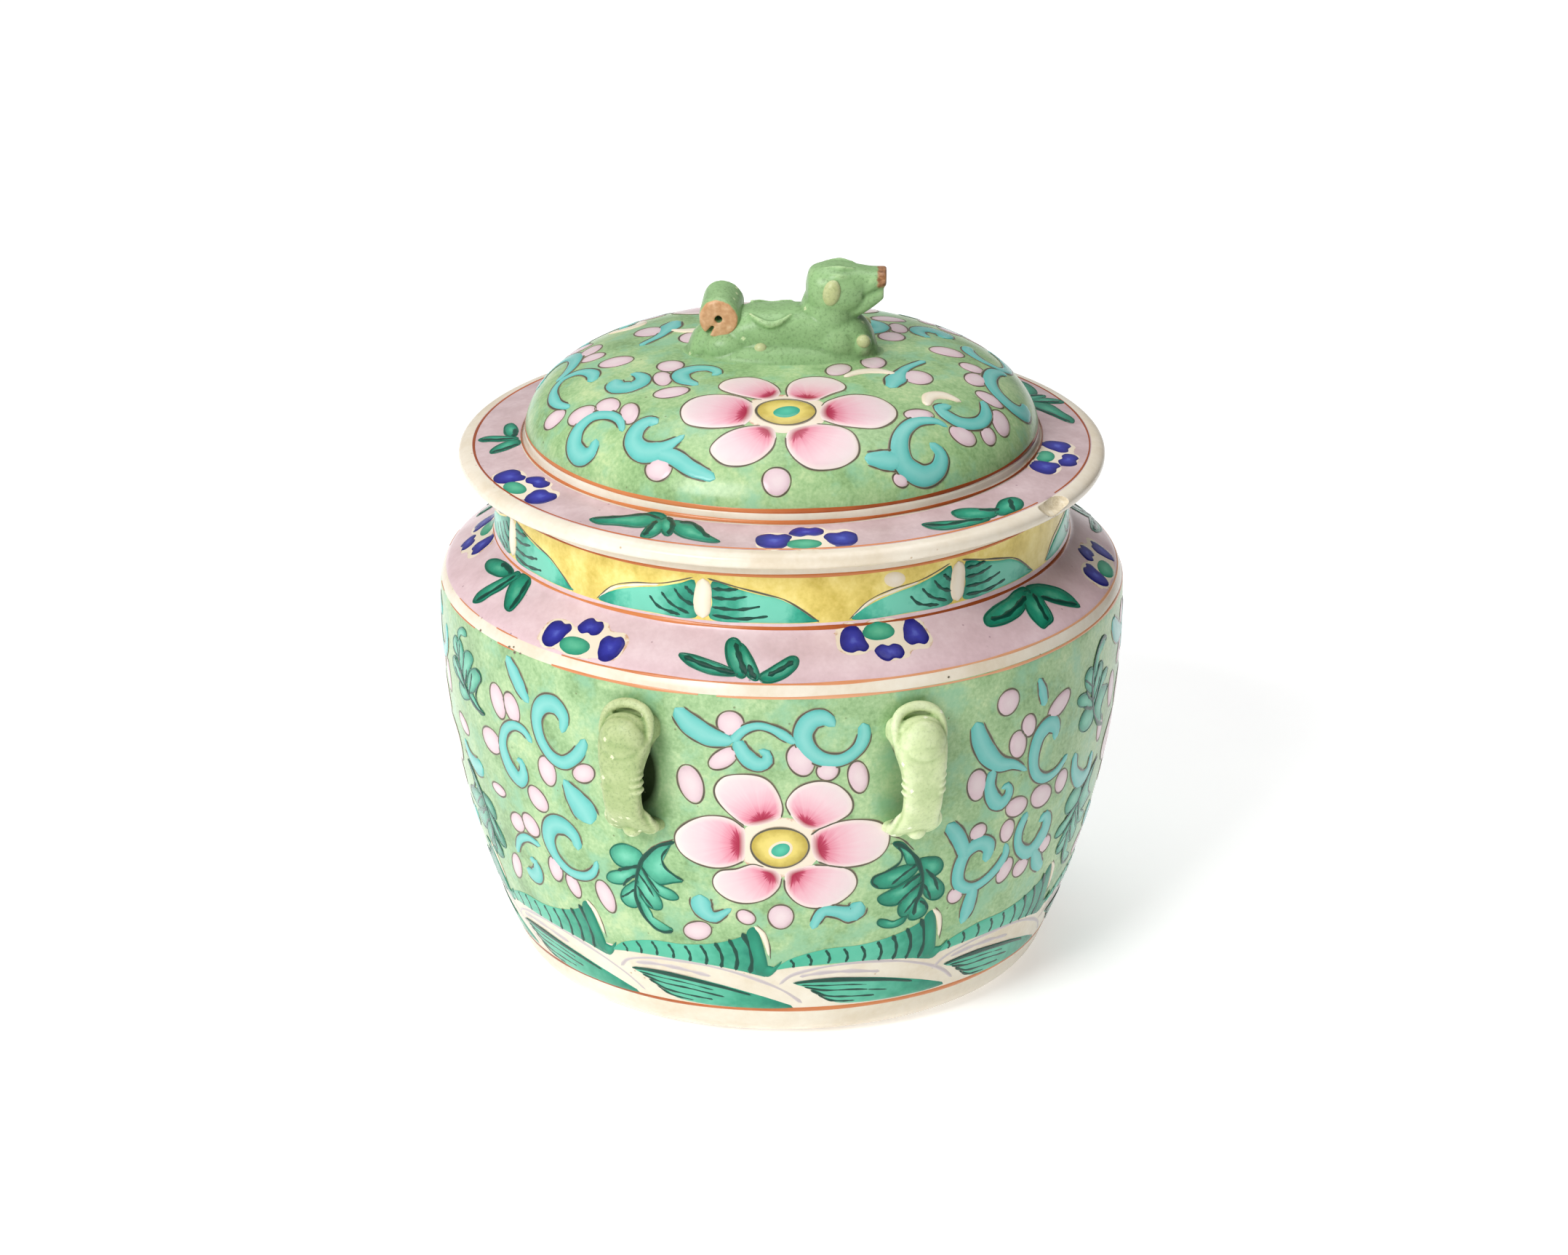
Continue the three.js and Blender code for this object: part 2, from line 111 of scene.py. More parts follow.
# the collar under the cover: its outer radius and its lower edge
COLLAR_R, COLLAR_Z = 58.3, 106.8
# cosine and sine of 22.8 degrees, which is how far a lug stands from the front or the back
LUG_COS, LUG_SIN = 0.922, 0.3875


def belly(z):
    """Outer radius at height z: widest radius minus a power of the distance below the widest ring."""
    below = np.clip(BELLY_Z - np.asarray(z, float), 0, None) / (BELLY_Z - HEEL_Z)
    return BELLY_R - (BELLY_R - HEEL_R) * below**BELLY_POWER


def bend(a, corner, b, n=9):
    """A quadratic curve that leaves a towards the corner and arrives at b."""
    t = np.linspace(0, 1, n)[:, None]
    a, corner, b = (np.array(p, float) for p in (a, corner, b))
    return (1 - t) ** 2 * a + 2 * t * (1 - t) * corner + t**2 * b


def straight(a, b, n):
    """Evenly spaced points from a to b."""
    t = np.linspace(0, 1, n)[:, None]
    return (1 - t) * np.array(a, float) + t * np.array(b, float)


def dome_side(radius, foot, rise, n=40):
    """The dome's profile from the crown out to its foot."""
    angle = np.linspace(math.pi / 2, 0, n)
    r = radius * np.clip(np.cos(angle), 0, None) ** 0.5
    r[0] = 0
    return np.stack([r, foot + rise * np.sin(angle) ** (2 / 1.75)], 1)


# the shoulder's rounded edge starts at 86 mm, just above the widest ring
heights = np.linspace(HEEL_Z, 86, 60)
belly_side = np.stack([belly(heights), heights], 1)
shoulder_edge = bend([BELLY_R, 86], [BELLY_R - 0.3, 89], [73.2, 90.6])
shoulder_side = straight([73.2, 90.6], [64.6, 96.7], 12)
neck_fillet = bend([64.6, 96.7], [63.2, 97.7], [NECK_R, YELLOW_Z])
flange_lip = bend([FLANGE_R, 115.5], [FLANGE_R, 117.0], [67.7, 117.3], 18)
flange_side = straight([67.7, 117.3], [57.2, 118.9], 12)
dome_profile = dome_side(DOME_R, DOME_FOOT, DOME_RISE, 72)
print("crown at", CROWN, "mm")

# %% [markdown]
# ## Charts
# A zone turns chart places into points on the pot: the arc length b picks a place on the zone's
# profile, and a is divided by the zone's own radius to give the angle. On the dome the chart is a
# flat disc instead: the distance from its middle is the arc length from the crown.


# %% Charts
class Zone:
    """A painted zone: its profile, and the radius that turns millimetres round into an angle."""

    def __init__(self, profile, radius, start=0.0, disc=False, by_height=False):
        profile = np.asarray(profile, float)
        self.profile, self.radius, self.disc = profile, radius, disc
        step = np.hypot(*np.diff(profile, axis=0).T)
        self.arc = profile[:, 1] if by_height else start + np.concatenate([[0], np.cumsum(step)])
        along = np.gradient(profile, axis=0)
        along /= np.linalg.norm(along, axis=1, keepdims=True)
        self.normal = np.stack([along[:, 1], -along[:, 0]], 1)
        if self.normal[len(profile) // 2].sum() < 0:
            self.normal *= -1

    def points(self, ab, lift, turn=0.0):
        """Chart places (..., 2) and lifts in mm to points (..., 3) in metres, turned by degrees."""
        a, b = ab[..., 0], ab[..., 1]
        if self.disc:
            place, angle = np.hypot(a, b), np.arctan2(a, -b)
        else:
            place, angle = b, a / self.radius
        r, z = (np.interp(place, self.arc, self.profile[:, i]) for i in (0, 1))
        nr, nz = (np.interp(place, self.arc, self.normal[:, i]) for i in (0, 1))
        r, z, angle = r + nr * lift, z + nz * lift, angle + math.radians(turn)
        return np.stack([r * np.sin(angle), -r * np.cos(angle), z], -1) / 1000


BODY = Zone(belly_side, 74.0, by_height=True)
SHOULDER = Zone(np.vstack([shoulder_edge[4:], shoulder_side[1:], neck_fillet[1:]]), 69.0, -0.2)
NECK = Zone(np.vstack([neck_fillet[-5:-1], straight([NECK_R, YELLOW_Z], [NECK_R, 112.6], 8)]), NECK_R,
    by_height=True)
FLANGE = Zone(np.vstack([flange_lip, flange_side[1:], straight([57.2, 118.9], [56.3, 121], 3)[1:]]), 62.0)
DOME = Zone(dome_profile, 60.0, disc=True)
COVER_ZONES = (FLANGE, DOME)
# where the lavender starts, as a place on the shoulder's chart
EDGE_LINE = float(SHOULDER.arc[2])
print("dome arc", round(float(DOME.arc[-1]), 1), "mm; shoulder arc", round(float(SHOULDER.arc[-1]), 1), "mm")

# %% [markdown]
# ## Brushes
# Paint collects in pots, one for each colour and body. A stroke is a strip along a smooth path, and
# a fill is a disc of rings inside a closed outline. Both are highest in the middle, like wet enamel.
# Each point keeps a tone from 0 to 1 that its material turns into depth of colour.

# %% Brushes
POTS = {}


def smooth(points, n, closed=False):
    """n points on a Catmull-Rom curve through the given points, evenly spaced along it."""
    p = np.asarray(points, float)
    if closed:
        p = np.vstack([p[-1:], p, p[:2]])
    else:
        p = np.vstack([2 * p[0] - p[1], p, 2 * p[-1] - p[-2]])
    spans = len(p) - 3
    u = np.linspace(0, spans, spans * 12 + 1)
    i = np.clip(u.astype(int), 0, spans - 1)
    t = (u - i)[:, None]
    a, b, c, d = p[i], p[i + 1], p[i + 2], p[i + 3]
    curve = 0.5 * (2 * b + (c - a) * t + (2 * a - 5 * b + 4 * c - d) * t**2 + (3 * b - a - 3 * c + d) * t**3)
    arc = np.concatenate([[0], np.cumsum(np.linalg.norm(np.diff(curve, axis=0), axis=1))])
    want = np.linspace(0, arc[-1], n, endpoint=not closed)
    return np.stack([np.interp(want, arc, curve[:, k]) for k in range(curve.shape[1])], 1)


def put(points, move=(0, 0), size=1.0, lean=0.0, flip=False):
    """Chart points mirrored, scaled, turned by degrees about the origin, then moved."""
    p = np.asarray(points, float) * ([-1, 1] if flip else [1, 1]) * size
    c, s = math.cos(math.radians(lean)), math.sin(math.radians(lean))
    return p @ np.array([[c, s], [-s, c]]) + np.asarray(move, float)


def pour(pot, zone, places, lifts, faces, tone, uv, turn):
    """Adds one patch to a pot."""
    name = ("cover_" if zone in COVER_ZONES else "jar_") + pot
    POTS.setdefault(name, []).append((zone.points(places, lifts, turn), faces, tone, uv))


def grid_faces(rows, cols, closed=False):
    """Quads of a grid of points, one row after another; closed joins the last row to the first."""
    i, j = np.meshgrid(np.arange(rows if closed else rows - 1), np.arange(cols - 1), indexing="ij")
    a = (i * cols + j).ravel()
    b = (((i + 1) % rows) * cols + j).ravel()
    return np.stack([b, b + 1, a + 1, a], 1)


def stroke(pot, zone, path, widths, turn=0.0, crown=0.1, base=0.02, n=None, closed=False, cols=7):
    """A brush stroke: its width is eased between the given values and its ends are round."""
    path = np.asarray(path, float)
    length = np.linalg.norm(np.diff(path, axis=0), axis=1).sum()
    n = n or int(np.clip(length * 1.6, 10, 60))
    line = smooth(path, n, closed)
    if closed:
        along = np.roll(line, -1, 0) - np.roll(line, 1, 0)
    else:
        along = np.gradient(line, axis=0)
    along /= np.linalg.norm(along, axis=1, keepdims=True)
    t = np.linspace(0, 1, n)
    half = np.interp(t, np.linspace(0, 1, len(widths)), widths) / 2
    if not closed:
        run = t * length
        near = np.minimum(run, length - run) / np.maximum(half, 1e-3)
        half = half * np.sqrt(np.clip(1 - (1 - np.clip(near, 0, 1)) ** 2, 0.02, 1))
    v = np.sin(np.linspace(-math.pi / 2, math.pi / 2, cols))
    side = np.stack([-along[:, 1], along[:, 0]], 1)
    places = line[:, None] + side[:, None] * (half[:, None] * v)[..., None]
    thick = np.minimum(1, half / 0.8)[:, None]
    lifts = base + crown * thick * (1 - v**6) - 0.04 * (np.abs(v) > 0.99)
    tone = np.abs(v)[None] * np.ones((n, 1))
    uv = np.stack(np.broadcast_arrays(v[None] * half[:, None], (t * length)[:, None]), -1)
    faces = grid_faces(n, cols, closed)
    pour(pot, zone, places.reshape(-1, 2), lifts.ravel(), faces, tone.ravel(), uv.reshape(-1, 2), turn)


def fill(pot, zone, outline, root=None, turn=0.0, crown=0.1, base=0.03, n=44, rings=7):
    """A filled shape: rings shrink towards its middle. Tone runs from the root, or from the middle."""
    edge = smooth(outline, n, closed=True)
    x, y = edge.T
    if np.sum(x * np.roll(y, -1) - y * np.roll(x, -1)) > 0:
        edge = edge[::-1]
    middle = edge.mean(0)
    t = np.linspace(0.06, 1, rings) ** 0.8
    places = middle + (edge - middle)[:, None] * t[None, :, None]
    lifts = np.broadcast_to(base + crown * (1 - t**8)[None] - 0.05 * (t > 0.999), (n, rings))
    away = places - middle
    tone = np.broadcast_to(t[None], (n, rings))
    if root is not None:
        root = np.asarray(root, float)
        away = places - root
        axis = (middle - root) / np.linalg.norm(middle - root)
        deep, wide = away @ axis, away @ np.array([-axis[1], axis[0]])
        tone = np.hypot(deep, 0.62 * wide) / np.hypot(deep, wide).max()
    uv = np.stack(np.broadcast_arrays(np.arctan2(away[..., 1], away[..., 0]), t[None]), -1)
    faces = [tuple(f) for f in grid_faces(n, rings, closed=True)]
    hub = tuple(range((n - 1) * rings, -1, -rings))
    places, lifts, tone, uv = places.reshape(-1, 2), lifts.ravel(), tone.ravel(), uv.reshape(-1, 2)
    pour(pot, zone, places, lifts, faces + [hub], tone, uv, turn)


def line(pot, zone, path, width, turn=0.0, closed=False, crown=0.04, base=0.05, swing=0.4, n=None):
    """A thin drawn line whose width swells and thins as a loaded brush does."""
    k = np.arange(9)
    widths = width * (1 + swing * np.sin(2.1 * k + 3 * float(np.sum(path[0]))))
    widths[-1] = widths[0]
    stroke(pot, zone, path, widths, turn, crown, base, n=n, closed=closed, cols=5)


def oval(middle, rx, ry, lean=0.0):
    """Outline of a leaning oval, a little fuller on one side."""
    t = np.linspace(0, 2 * math.pi, 10, endpoint=False)
    shape = np.stack([rx * np.cos(t) * (1 + 0.06 * np.sin(t)), ry * np.sin(t)], 1)
    return put(shape, middle, 1.0, lean)


print("brushes ready")

# %% [markdown]
# ## Motifs
# Buds, scrolls, flowers and leaves are the painter's vocabulary. Each motif is given once, in its
# place on the chart, and is repeated round the pot. A scroll is its path and the widths along it,
# and a bud is its place, its two radii and its lean in degrees.

# %% Motifs
def bud(zone, middle, rx, ry, lean=0.0, turn=0.0):
    """A pale pink bud with a thin brown edge."""
    rx, ry = 1.1 * rx, 1.08 * ry
    fill("pink", zone, oval(middle, rx, ry, lean), None, turn, n=24, rings=5)
    line("outline", zone, oval(middle, rx + 0.12, ry + 0.12, lean), 0.42, turn, closed=True, n=40)


def scroll(zone, path, widths, turn=0.0):
    """A turquoise scroll: a fat curved stroke, edged with a dark line on both sides."""
    path, widths = np.asarray(path, float), 1.16 * np.asarray(widths, float)
    n = int(np.clip(np.linalg.norm(np.diff(path, axis=0), axis=1).sum() * 1.3, 16, 64))
    stroke("turquoise", zone, path, widths, turn, crown=0.13, base=0.05, n=n, cols=9)
    curve = smooth(path, n)
    along = np.gradient(curve, axis=0)
    along /= np.linalg.norm(along, axis=1, keepdims=True)
    half = np.interp(np.linspace(0, 1, n), np.linspace(0, 1, len(widths)), widths) / 2
    side = np.stack([-along[:, 1], along[:, 0]], 1) * (half + 0.1)[:, None]
    cut = max(1, n // 16)
    line("outline", zone, (curve + side)[cut:-cut:2], 0.55, turn, base=0.1, n=n)
    line("outline", zone, (curve - side)[cut:-cut:2], 0.44, turn, base=0.1, n=n)


def petal(zone, outline, heart, turn=0.0):
    """A pink petal that deepens to crimson where it meets the flower's heart."""
    outline, heart = np.asarray(outline, float), np.asarray(heart, float)
    middle = outline.mean(0)
    nearest = int(np.argmin(np.linalg.norm(outline - heart, axis=1)))
    root = outline[nearest] * 0.86 + middle * 0.14
    fill("petal", zone, middle + (outline - middle) * 1.02, root, turn, base=0.09, n=64, rings=15)
    grown = middle + (np.roll(outline, -nearest, 0)[1:] - middle) * 1.035
    line("outline", zone, grown, 0.42, turn, base=0.1, n=80)


def heart(zone, middle, rx, ry, turn=0.0, ringed=True):
    """The flower's yellow heart on cream, with a turquoise eye, ringed in white on the belly."""
    fill("halo", zone, oval(middle, 1.5 * rx, 1.55 * ry), None, turn, crown=0.04, base=0.04, n=40, rings=6)
    fill("yellow", zone, oval(middle, rx, ry), None, turn, crown=0.12, base=0.14)
    line("outline", zone, oval(middle, rx + 0.05, ry + 0.05), 0.5, turn, closed=True, base=0.2, n=64)
    eye = np.add(middle, (0.2, -0.4))
    line("outline", zone, oval(eye, 3.3, 2.6, 25), 0.42, turn, closed=True, base=0.24, n=56)
    if ringed:
        fill("white", zone, oval(eye, 3.0, 2.3, 25), None, turn, crown=0.06, base=0.26, n=28, rings=5)
    size = 1 if ringed else 1.28
    fill("eye", zone, oval(eye, 2.35 * size, 1.75 * size, 25), None, turn, crown=0.08, base=0.3, n=28,
        rings=5)


def leaf(zone, lobes, veins, turn=0.0, how=None, pot="leaf"):
    """A green leaf of several lobes, veined in near-black green."""
    how = how or {}
    for lobe in lobes:
        shape = put(lobe, **how)
        fill(pot, zone, shape, None, turn, base=0.06, n=34, rings=6)
        centre = shape.mean(0)
        line("leaf_edge", zone, centre + (shape - centre) * 1.02, 0.3, turn, closed=True, base=0.12, n=48)
    for vein, width in veins:
        line("vein", zone, put(vein, **how), 1.4 * width, turn, base=0.175)


print("motif brushes ready")

# %% [markdown]
# ## The great flower
# Six petals lie round a yellow heart. Each petal is a short list of places round its edge, and a
# smooth curve through them gives the hand-drawn outline.

# %% The great flower
# the belly's flower: the middle of its heart, and its six petals
FLOWER_AT = (1.5, 52)
FLOWER_PETALS = [
    [(-6, 57.5), (-9.5, 60.5), (-11.7, 63.5), (-11.9, 66.2), (-10, 68.6), (-6.5, 69.4), (-3, 69.2),
        (-0.6, 67.8), (1.0, 65.2), (1.9, 62), (1.6, 59.6), (-2, 57.8)],
    [(3, 62.6), (3.9, 64.9), (5.7, 66.7), (8.3, 67.7), (11, 67.7), (13.8, 66.5), (16, 64.2), (16.8, 61.8),
        (16, 59.7), (13, 57.9), (9.4, 56.5), (6.4, 57.2), (4, 60)],
    [(-6.3, 56.6), (-8.6, 58.4), (-11.4, 59.1), (-14.8, 58.7), (-18.2, 57), (-20.7, 54.5), (-21.2, 52),
        (-20, 49.3), (-17.2, 47.4), (-13.4, 46.5), (-9.8, 47), (-6.6, 48.6), (-5.9, 52.6)],
    [(8.4, 55), (10.8, 56.7), (14.8, 57.9), (19, 57.9), (22.7, 56.9), (24.9, 54.6), (25.1, 51.4),
        (23.8, 48.9), (21.2, 47.3), (17.6, 46.7), (13.6, 47), (10, 48.5), (8.4, 51.2)],
    [(-4.6, 47.6), (-8, 46.3), (-11.4, 45.6), (-13.1, 43.5), (-12.8, 41), (-10.5, 38.8), (-7.4, 37.8),
        (-4, 38.1), (-1, 39.5), (1.1, 41.9), (1.7, 44.4), (0.6, 46.3), (-2, 47)],
    [(3.6, 46.3), (2.7, 44), (3, 41.3), (4.6, 38.8), (7, 37.1), (9.8, 36.5), (12.8, 36.8), (15.7, 38.2),
        (17.9, 40.5), (18.4, 43), (17, 45.5), (13.8, 46.8), (9, 47.4)],
]
print("petals:", len(FLOWER_PETALS))

# %% [markdown]
# ## Scrolls and buds
# There are three groups: one above and below the flower, and one on each side of it. The sides
# aren't mirror images, because a painter doesn't repeat a curl exactly.

# %% Scrolls and buds
FRONT_SCROLLS = [
    ([(-20.4, 83.6), (-17.3, 80.4), (-13, 77.9), (-8, 77.1)], [2.6, 4.4, 4.0, 1.8]),
    ([(-8.4, 77), (-6.2, 79.6), (-3.2, 80.9), (0, 80.2), (2.6, 78.6), (4.9, 76.8)],
        [2.0, 1.8, 1.6, 1.5, 2.0, 1.2]),
    ([(-7.6, 77.6), (-5.8, 74.2), (-3.5, 72.2), (-1.3, 72.6), (-1.2, 74.5), (-2.9, 75.3)],
        [2.4, 2.8, 3.4, 3.0, 2.0, 1.0]),
    ([(12.9, 80.5), (10.9, 82.4), (8.0, 82.1), (6.3, 79), (7.5, 75.4), (10.6, 73), (14.6, 72.8), (17.8, 75),
            (19.1, 78), (18.8, 80.8)], [1.4, 3.4, 3.8, 3.5, 3.1, 2.8, 2.5, 2.4, 2.6, 2.2]),
    ([(-16.6, 39), (-16.3, 35.4), (-13.9, 33.4), (-11.5, 34.6), (-9.5, 36)], [3.6, 4.6, 3.0, 1.8, 0.8]),
    ([(20, 37.2), (18.2, 34.3), (14.5, 35.2), (11.5, 35.5), (9.9, 33.2), (9, 30.8)],
        [3.4, 4.4, 2.8, 2.5, 2.2, 1.6]),
]
FRONT_BUDS = [
    (-8.7, 81, 2.5, 2.7, 0), (-10.2, 73, 3.3, 1.8, 38), (-17.3, 66.3, 2.4, 4.2, 14), (5.9, 73, 2.5, 3.5, 18),
    (11.5, 70.2, 2.1, 2.0, 0), (18, 68.3, 1.9, 3.5, 10), (-6.3, 33.9, 2.0, 1.6, -30),
    (1.7, 34.2, 2.6, 2.9, 0),
    (-18, 29.2, 3.2, 2.2, 20),
]
LEFT_SCROLLS = [
    ([(-64.3, 85.4), (-61.7, 82), (-59.2, 78.6), (-57.3, 76.6)], [1.8, 3.4, 3.4, 1.4]),
    ([(-47.8, 72.4), (-47.2, 76), (-49.5, 78.4), (-53, 77.5), (-55, 74), (-54.3, 69.5), (-51.5, 66.1),
            (-48, 65.3), (-44.6, 67.5), (-42.5, 70.4), (-41.7, 72.5)],
            [1.2, 2.8, 3.8, 3.4, 2.8, 2.6, 2.6, 2.8, 2.6, 2.6, 1.6]),
    ([(-57, 67.3), (-59.5, 69.5), (-63, 69.6), (-66.3, 67.2), (-67.7, 63), (-66, 58.7), (-62.8, 56.7),
            (-60.9, 58.7), (-61.4, 61.4), (-63, 61.3)], [1.4, 1.8, 1.9, 2.2, 2.4, 3.2, 3.7, 3.4, 2.2, 1.0]),
    ([(-48.3, 61.2), (-45.8, 57.8), (-43.2, 54.6), (-42, 52)], [1.2, 4.4, 6.2, 5.2]),
    ([(-46.8, 44.2), (-47.1, 47.3), (-50, 49.3), (-53.8, 48.3), (-55.7, 44.5), (-54.4, 40.4), (-50.5, 37.6),
            (-46, 37.8), (-43, 39.9), (-41.7, 42.8)], [2.0, 3.2, 4.0, 3.8, 3.3, 2.5, 2.1, 2.0, 1.8, 1.0]),
    ([(-59.3, 41.3), (-63.5, 42), (-67.5, 40), (-70.2, 36)], [1.2, 1.7, 1.8, 1.2]),
    ([(-67.8, 32.7), (-65, 31.7), (-62.8, 33.5), (-63, 36), (-65, 36.2)], [2.0, 3.2, 3.4, 2.2, 1.0]),
    ([(-89.4, 56.6), (-87, 53.6), (-83, 52.4), (-79.2, 53.6)], [1.8, 2.8, 4.0, 3.4]),
]
LEFT_BUDS = [
    (-68.3, 73.5, 2.4, 3.7, 20), (-63.2, 73.6, 2.3, 3.2, 24), (-72.5, 62.6, 3.6, 2.7, 0),
    (-53, 61.8, 2.3, 3.2, 8),
    (-42.6, 64.1, 2.8, 1.9, 28), (-57.2, 53.7, 3.0, 2.4, -35), (-72.5, 50.7, 2.6, 1.3, 0),
    (-66.7, 44.7, 2.6, 2.1, 30),
    (-61.5, 45.8, 2.7, 2.4, -30), (-55.5, 36.8, 2.0, 3.0, -10), (-50.5, 34, 1.8, 2.8, 15),
    (-41, 33.8, 2.1, 3.8, 14),
    (-72.8, 31.5, 1.8, 3.6, -30), (-88, 60.7, 3.0, 1.7, -20),
]
RIGHT_SCROLLS = [
    ([(44.8, 76.6), (46, 72.2), (48.5, 67.9), (51.8, 65), (56, 63.7), (60.2, 61)],
        [2.6, 4.0, 4.2, 3.2, 1.8, 0.7]),
    ([(50, 64.3), (49.4, 60.2), (50.9, 56.7), (53.2, 55.1), (55.2, 56.8), (54.6, 59), (52.8, 58.8)],
        [2.2, 2.4, 3.0, 3.3, 2.8, 2.0, 0.9]),
    ([(68.8, 65.4), (69.1, 68.2), (66.6, 70), (63.3, 68.3), (62, 64), (63, 59.6), (66.5, 57), (71, 57.2),
            (75, 59.9)], [1.2, 3.4, 3.7, 3.3, 2.7, 2.3, 2.0, 1.8, 1.5]),
    ([(62.3, 82), (63.5, 78.7), (64.5, 75)], [0.9, 2.4, 1.8]),
    ([(39.2, 53.6), (41.8, 50.4), (44, 46.5), (45.3, 43)], [2.6, 3.3, 3.2, 3.0]),
    ([(51.3, 41), (51.5, 44.8), (48.5, 46.6), (45, 45), (43.7, 41), (44.5, 37.2), (48, 35.2), (52, 36),
            (55.5, 38.5), (57.3, 41.5), (56.6, 44.2)], [2.2, 3.2, 3.2, 3.0, 3.0, 2.8, 2.5, 2.2, 2.4, 2.4,
            1.0]),
    ([(49, 36), (48.8, 32), (48.5, 28.6), (47.8, 25.8)], [2.4, 3.4, 3.7, 1.4]),
    ([(62.3, 50.2), (60.5, 46), (61.5, 41.7), (65.5, 39), (69, 40.5), (70.8, 44), (69.6, 46.8), (67.4, 46)],
        [2.0, 2.4, 2.2, 2.7, 3.7, 4.1, 3.0, 1.4]),
    ([(67.6, 39), (70.5, 34.8), (73.8, 32)], [1.8, 3.6, 1.8]),
    ([(78.6, 58.8), (79.7, 53.9), (84.2, 50.2), (88.4, 51), (88.8, 55.4)], [2.0, 2.6, 3.6, 3.2, 1.8]),
]
RIGHT_BUDS = [
    (53.3, 79, 2.7, 2.7, 0), (56.7, 68.2, 2.2, 3.1, 16), (59.7, 71.8, 1.9, 2.5, 18),
    (69.8, 73.5, 3.9, 2.1, 25),
    (46, 61.4, 2.3, 3.5, 8), (47.7, 49.4, 2.0, 2.0, 0), (44, 34.3, 2.0, 1.8, -30),
    (58.3, 52.7, 3.1, 2.2, -12),
    (66.5, 52.7, 3.5, 2.5, -20), (74, 53.7, 2.2, 2.6, 10), (56.5, 47.3, 1.9, 2.6, 8),
    (58.2, 36.8, 2.1, 2.9, -20),
    (64, 35.7, 2.4, 2.2, 0), (72, 38.8, 2.4, 2.0, -20), (92.2, 59.6, 1.6, 2.9, 6),
]
print("buds on one side of the jar:", len(FRONT_BUDS + LEFT_BUDS + RIGHT_BUDS))

# %% [markdown]
# ## Leaves
# Two leaves of many lobes flank the flower. Each lobe overlaps the next, and near-black veins of
# changing weight run from the stalk.

# %% Leaves
LEFT_LEAF = [
    [(-22.3, 51), (-25, 50.5), (-28, 47.8), (-29.8, 45), (-29, 41.8), (-26.6, 40.2), (-22.8, 41.3),
        (-20.3, 42.1), (-22.2, 43.4), (-24.2, 45), (-24.8, 47.2), (-24, 49.3)],
    [(-29.8, 47.6), (-33, 49), (-36, 48.2), (-37.7, 46.2), (-37, 44), (-35.3, 43), (-32.8, 43.2),
        (-30, 44.3)],
    [(-30.6, 43.8), (-35, 42.2), (-38.5, 40.8), (-39.7, 39), (-38.3, 38.1), (-35.2, 38.7), (-32, 41.5)],
    [(-31.4, 40), (-34.2, 38.5), (-36, 36.6), (-36.6, 34.4), (-35.3, 32.9), (-33, 32.9), (-31.4, 35)],
    [(-30.4, 43.6), (-31.6, 39), (-30.6, 35), (-28.6, 33.4), (-26.4, 33.8), (-26.2, 36), (-28, 39.4)],
    [(-29.6, 43), (-28, 39.4), (-26, 37.2), (-23.5, 36.6), (-21.8, 37.4), (-23, 39), (-26.4, 40.4)],
    [(-32, 37), (-31.6, 33.4), (-30.6, 30.2), (-28.6, 27.9), (-26, 27.7), (-24.2, 28.8), (-26.4, 29.3),
        (-28.6, 30.6), (-29.4, 33)],
]
LEFT_VEINS = [
    ([(-21.5, 51.8), (-26, 49.7), (-29.6, 46), (-31, 43), (-32, 39.5), (-32.5, 36), (-31.6, 32),
            (-29.7, 29.2), (-27, 27.6), (-24.2, 28.2)], 0.62),
    ([(-30.2, 44.3), (-33, 43.3), (-36.4, 41.8)], 0.6),
    ([(-31.6, 41.6), (-34, 40), (-35.5, 38)], 0.45),
    ([(-30, 44), (-28.3, 41), (-26.3, 38)], 0.45),
    ([(-31, 42.3), (-29.2, 39.5), (-27.8, 36.8)], 0.45),
    ([(-31.8, 39), (-30.2, 36.2), (-28.4, 33.6)], 0.5),
    ([(-32.3, 38), (-34.5, 36.2), (-36.6, 34.8)], 0.4),
    ([(-23.2, 50), (-24.8, 47.5), (-24.3, 45), (-22.2, 43.2), (-20.1, 42.2)], 0.4),
]
RIGHT_LEAF = [
    [(26.4, 51.2), (28.6, 51), (31, 48.4), (33, 46), (32.4, 44.8), (30.4, 45.2), (29.6, 46.6), (28.8, 48.5)],
    [(33, 44.8), (29.5, 45.2), (26, 44.4), (22.9, 43.4), (22, 42), (23.4, 40.4), (26.3, 39.9), (29, 40.4),
        (32, 42.4)],
    [(33.9, 42.5), (30, 40.6), (26.5, 39.2), (24, 37.9), (24.6, 36.2), (27, 35.2), (30, 35.6), (33, 38.2)],
    [(34.2, 39.4), (31, 37.4), (29.4, 35.2), (29.4, 32.8), (31, 31.4), (33, 32.6), (34.2, 35.5)],
    [(33.8, 36), (32, 33.4), (32.2, 31), (34, 30.2), (36.2, 31), (36.8, 33), (35.5, 35.2)],
    [(33, 46), (35, 46.2), (37.8, 45.5), (39.2, 43.7), (38.8, 41.8), (37, 41), (35, 42), (33.8, 43.6)],
    [(34.3, 43), (36, 41.8), (38.4, 40), (40.2, 38), (40.5, 35.8), (39.2, 34.6), (37, 35), (35, 37.4)],
    [(31.4, 31.6), (28.6, 30.8), (26.4, 31.6), (24.8, 31.8), (24.6, 30.6), (26.4, 29.4), (29, 29.2),
        (31, 30)],
]
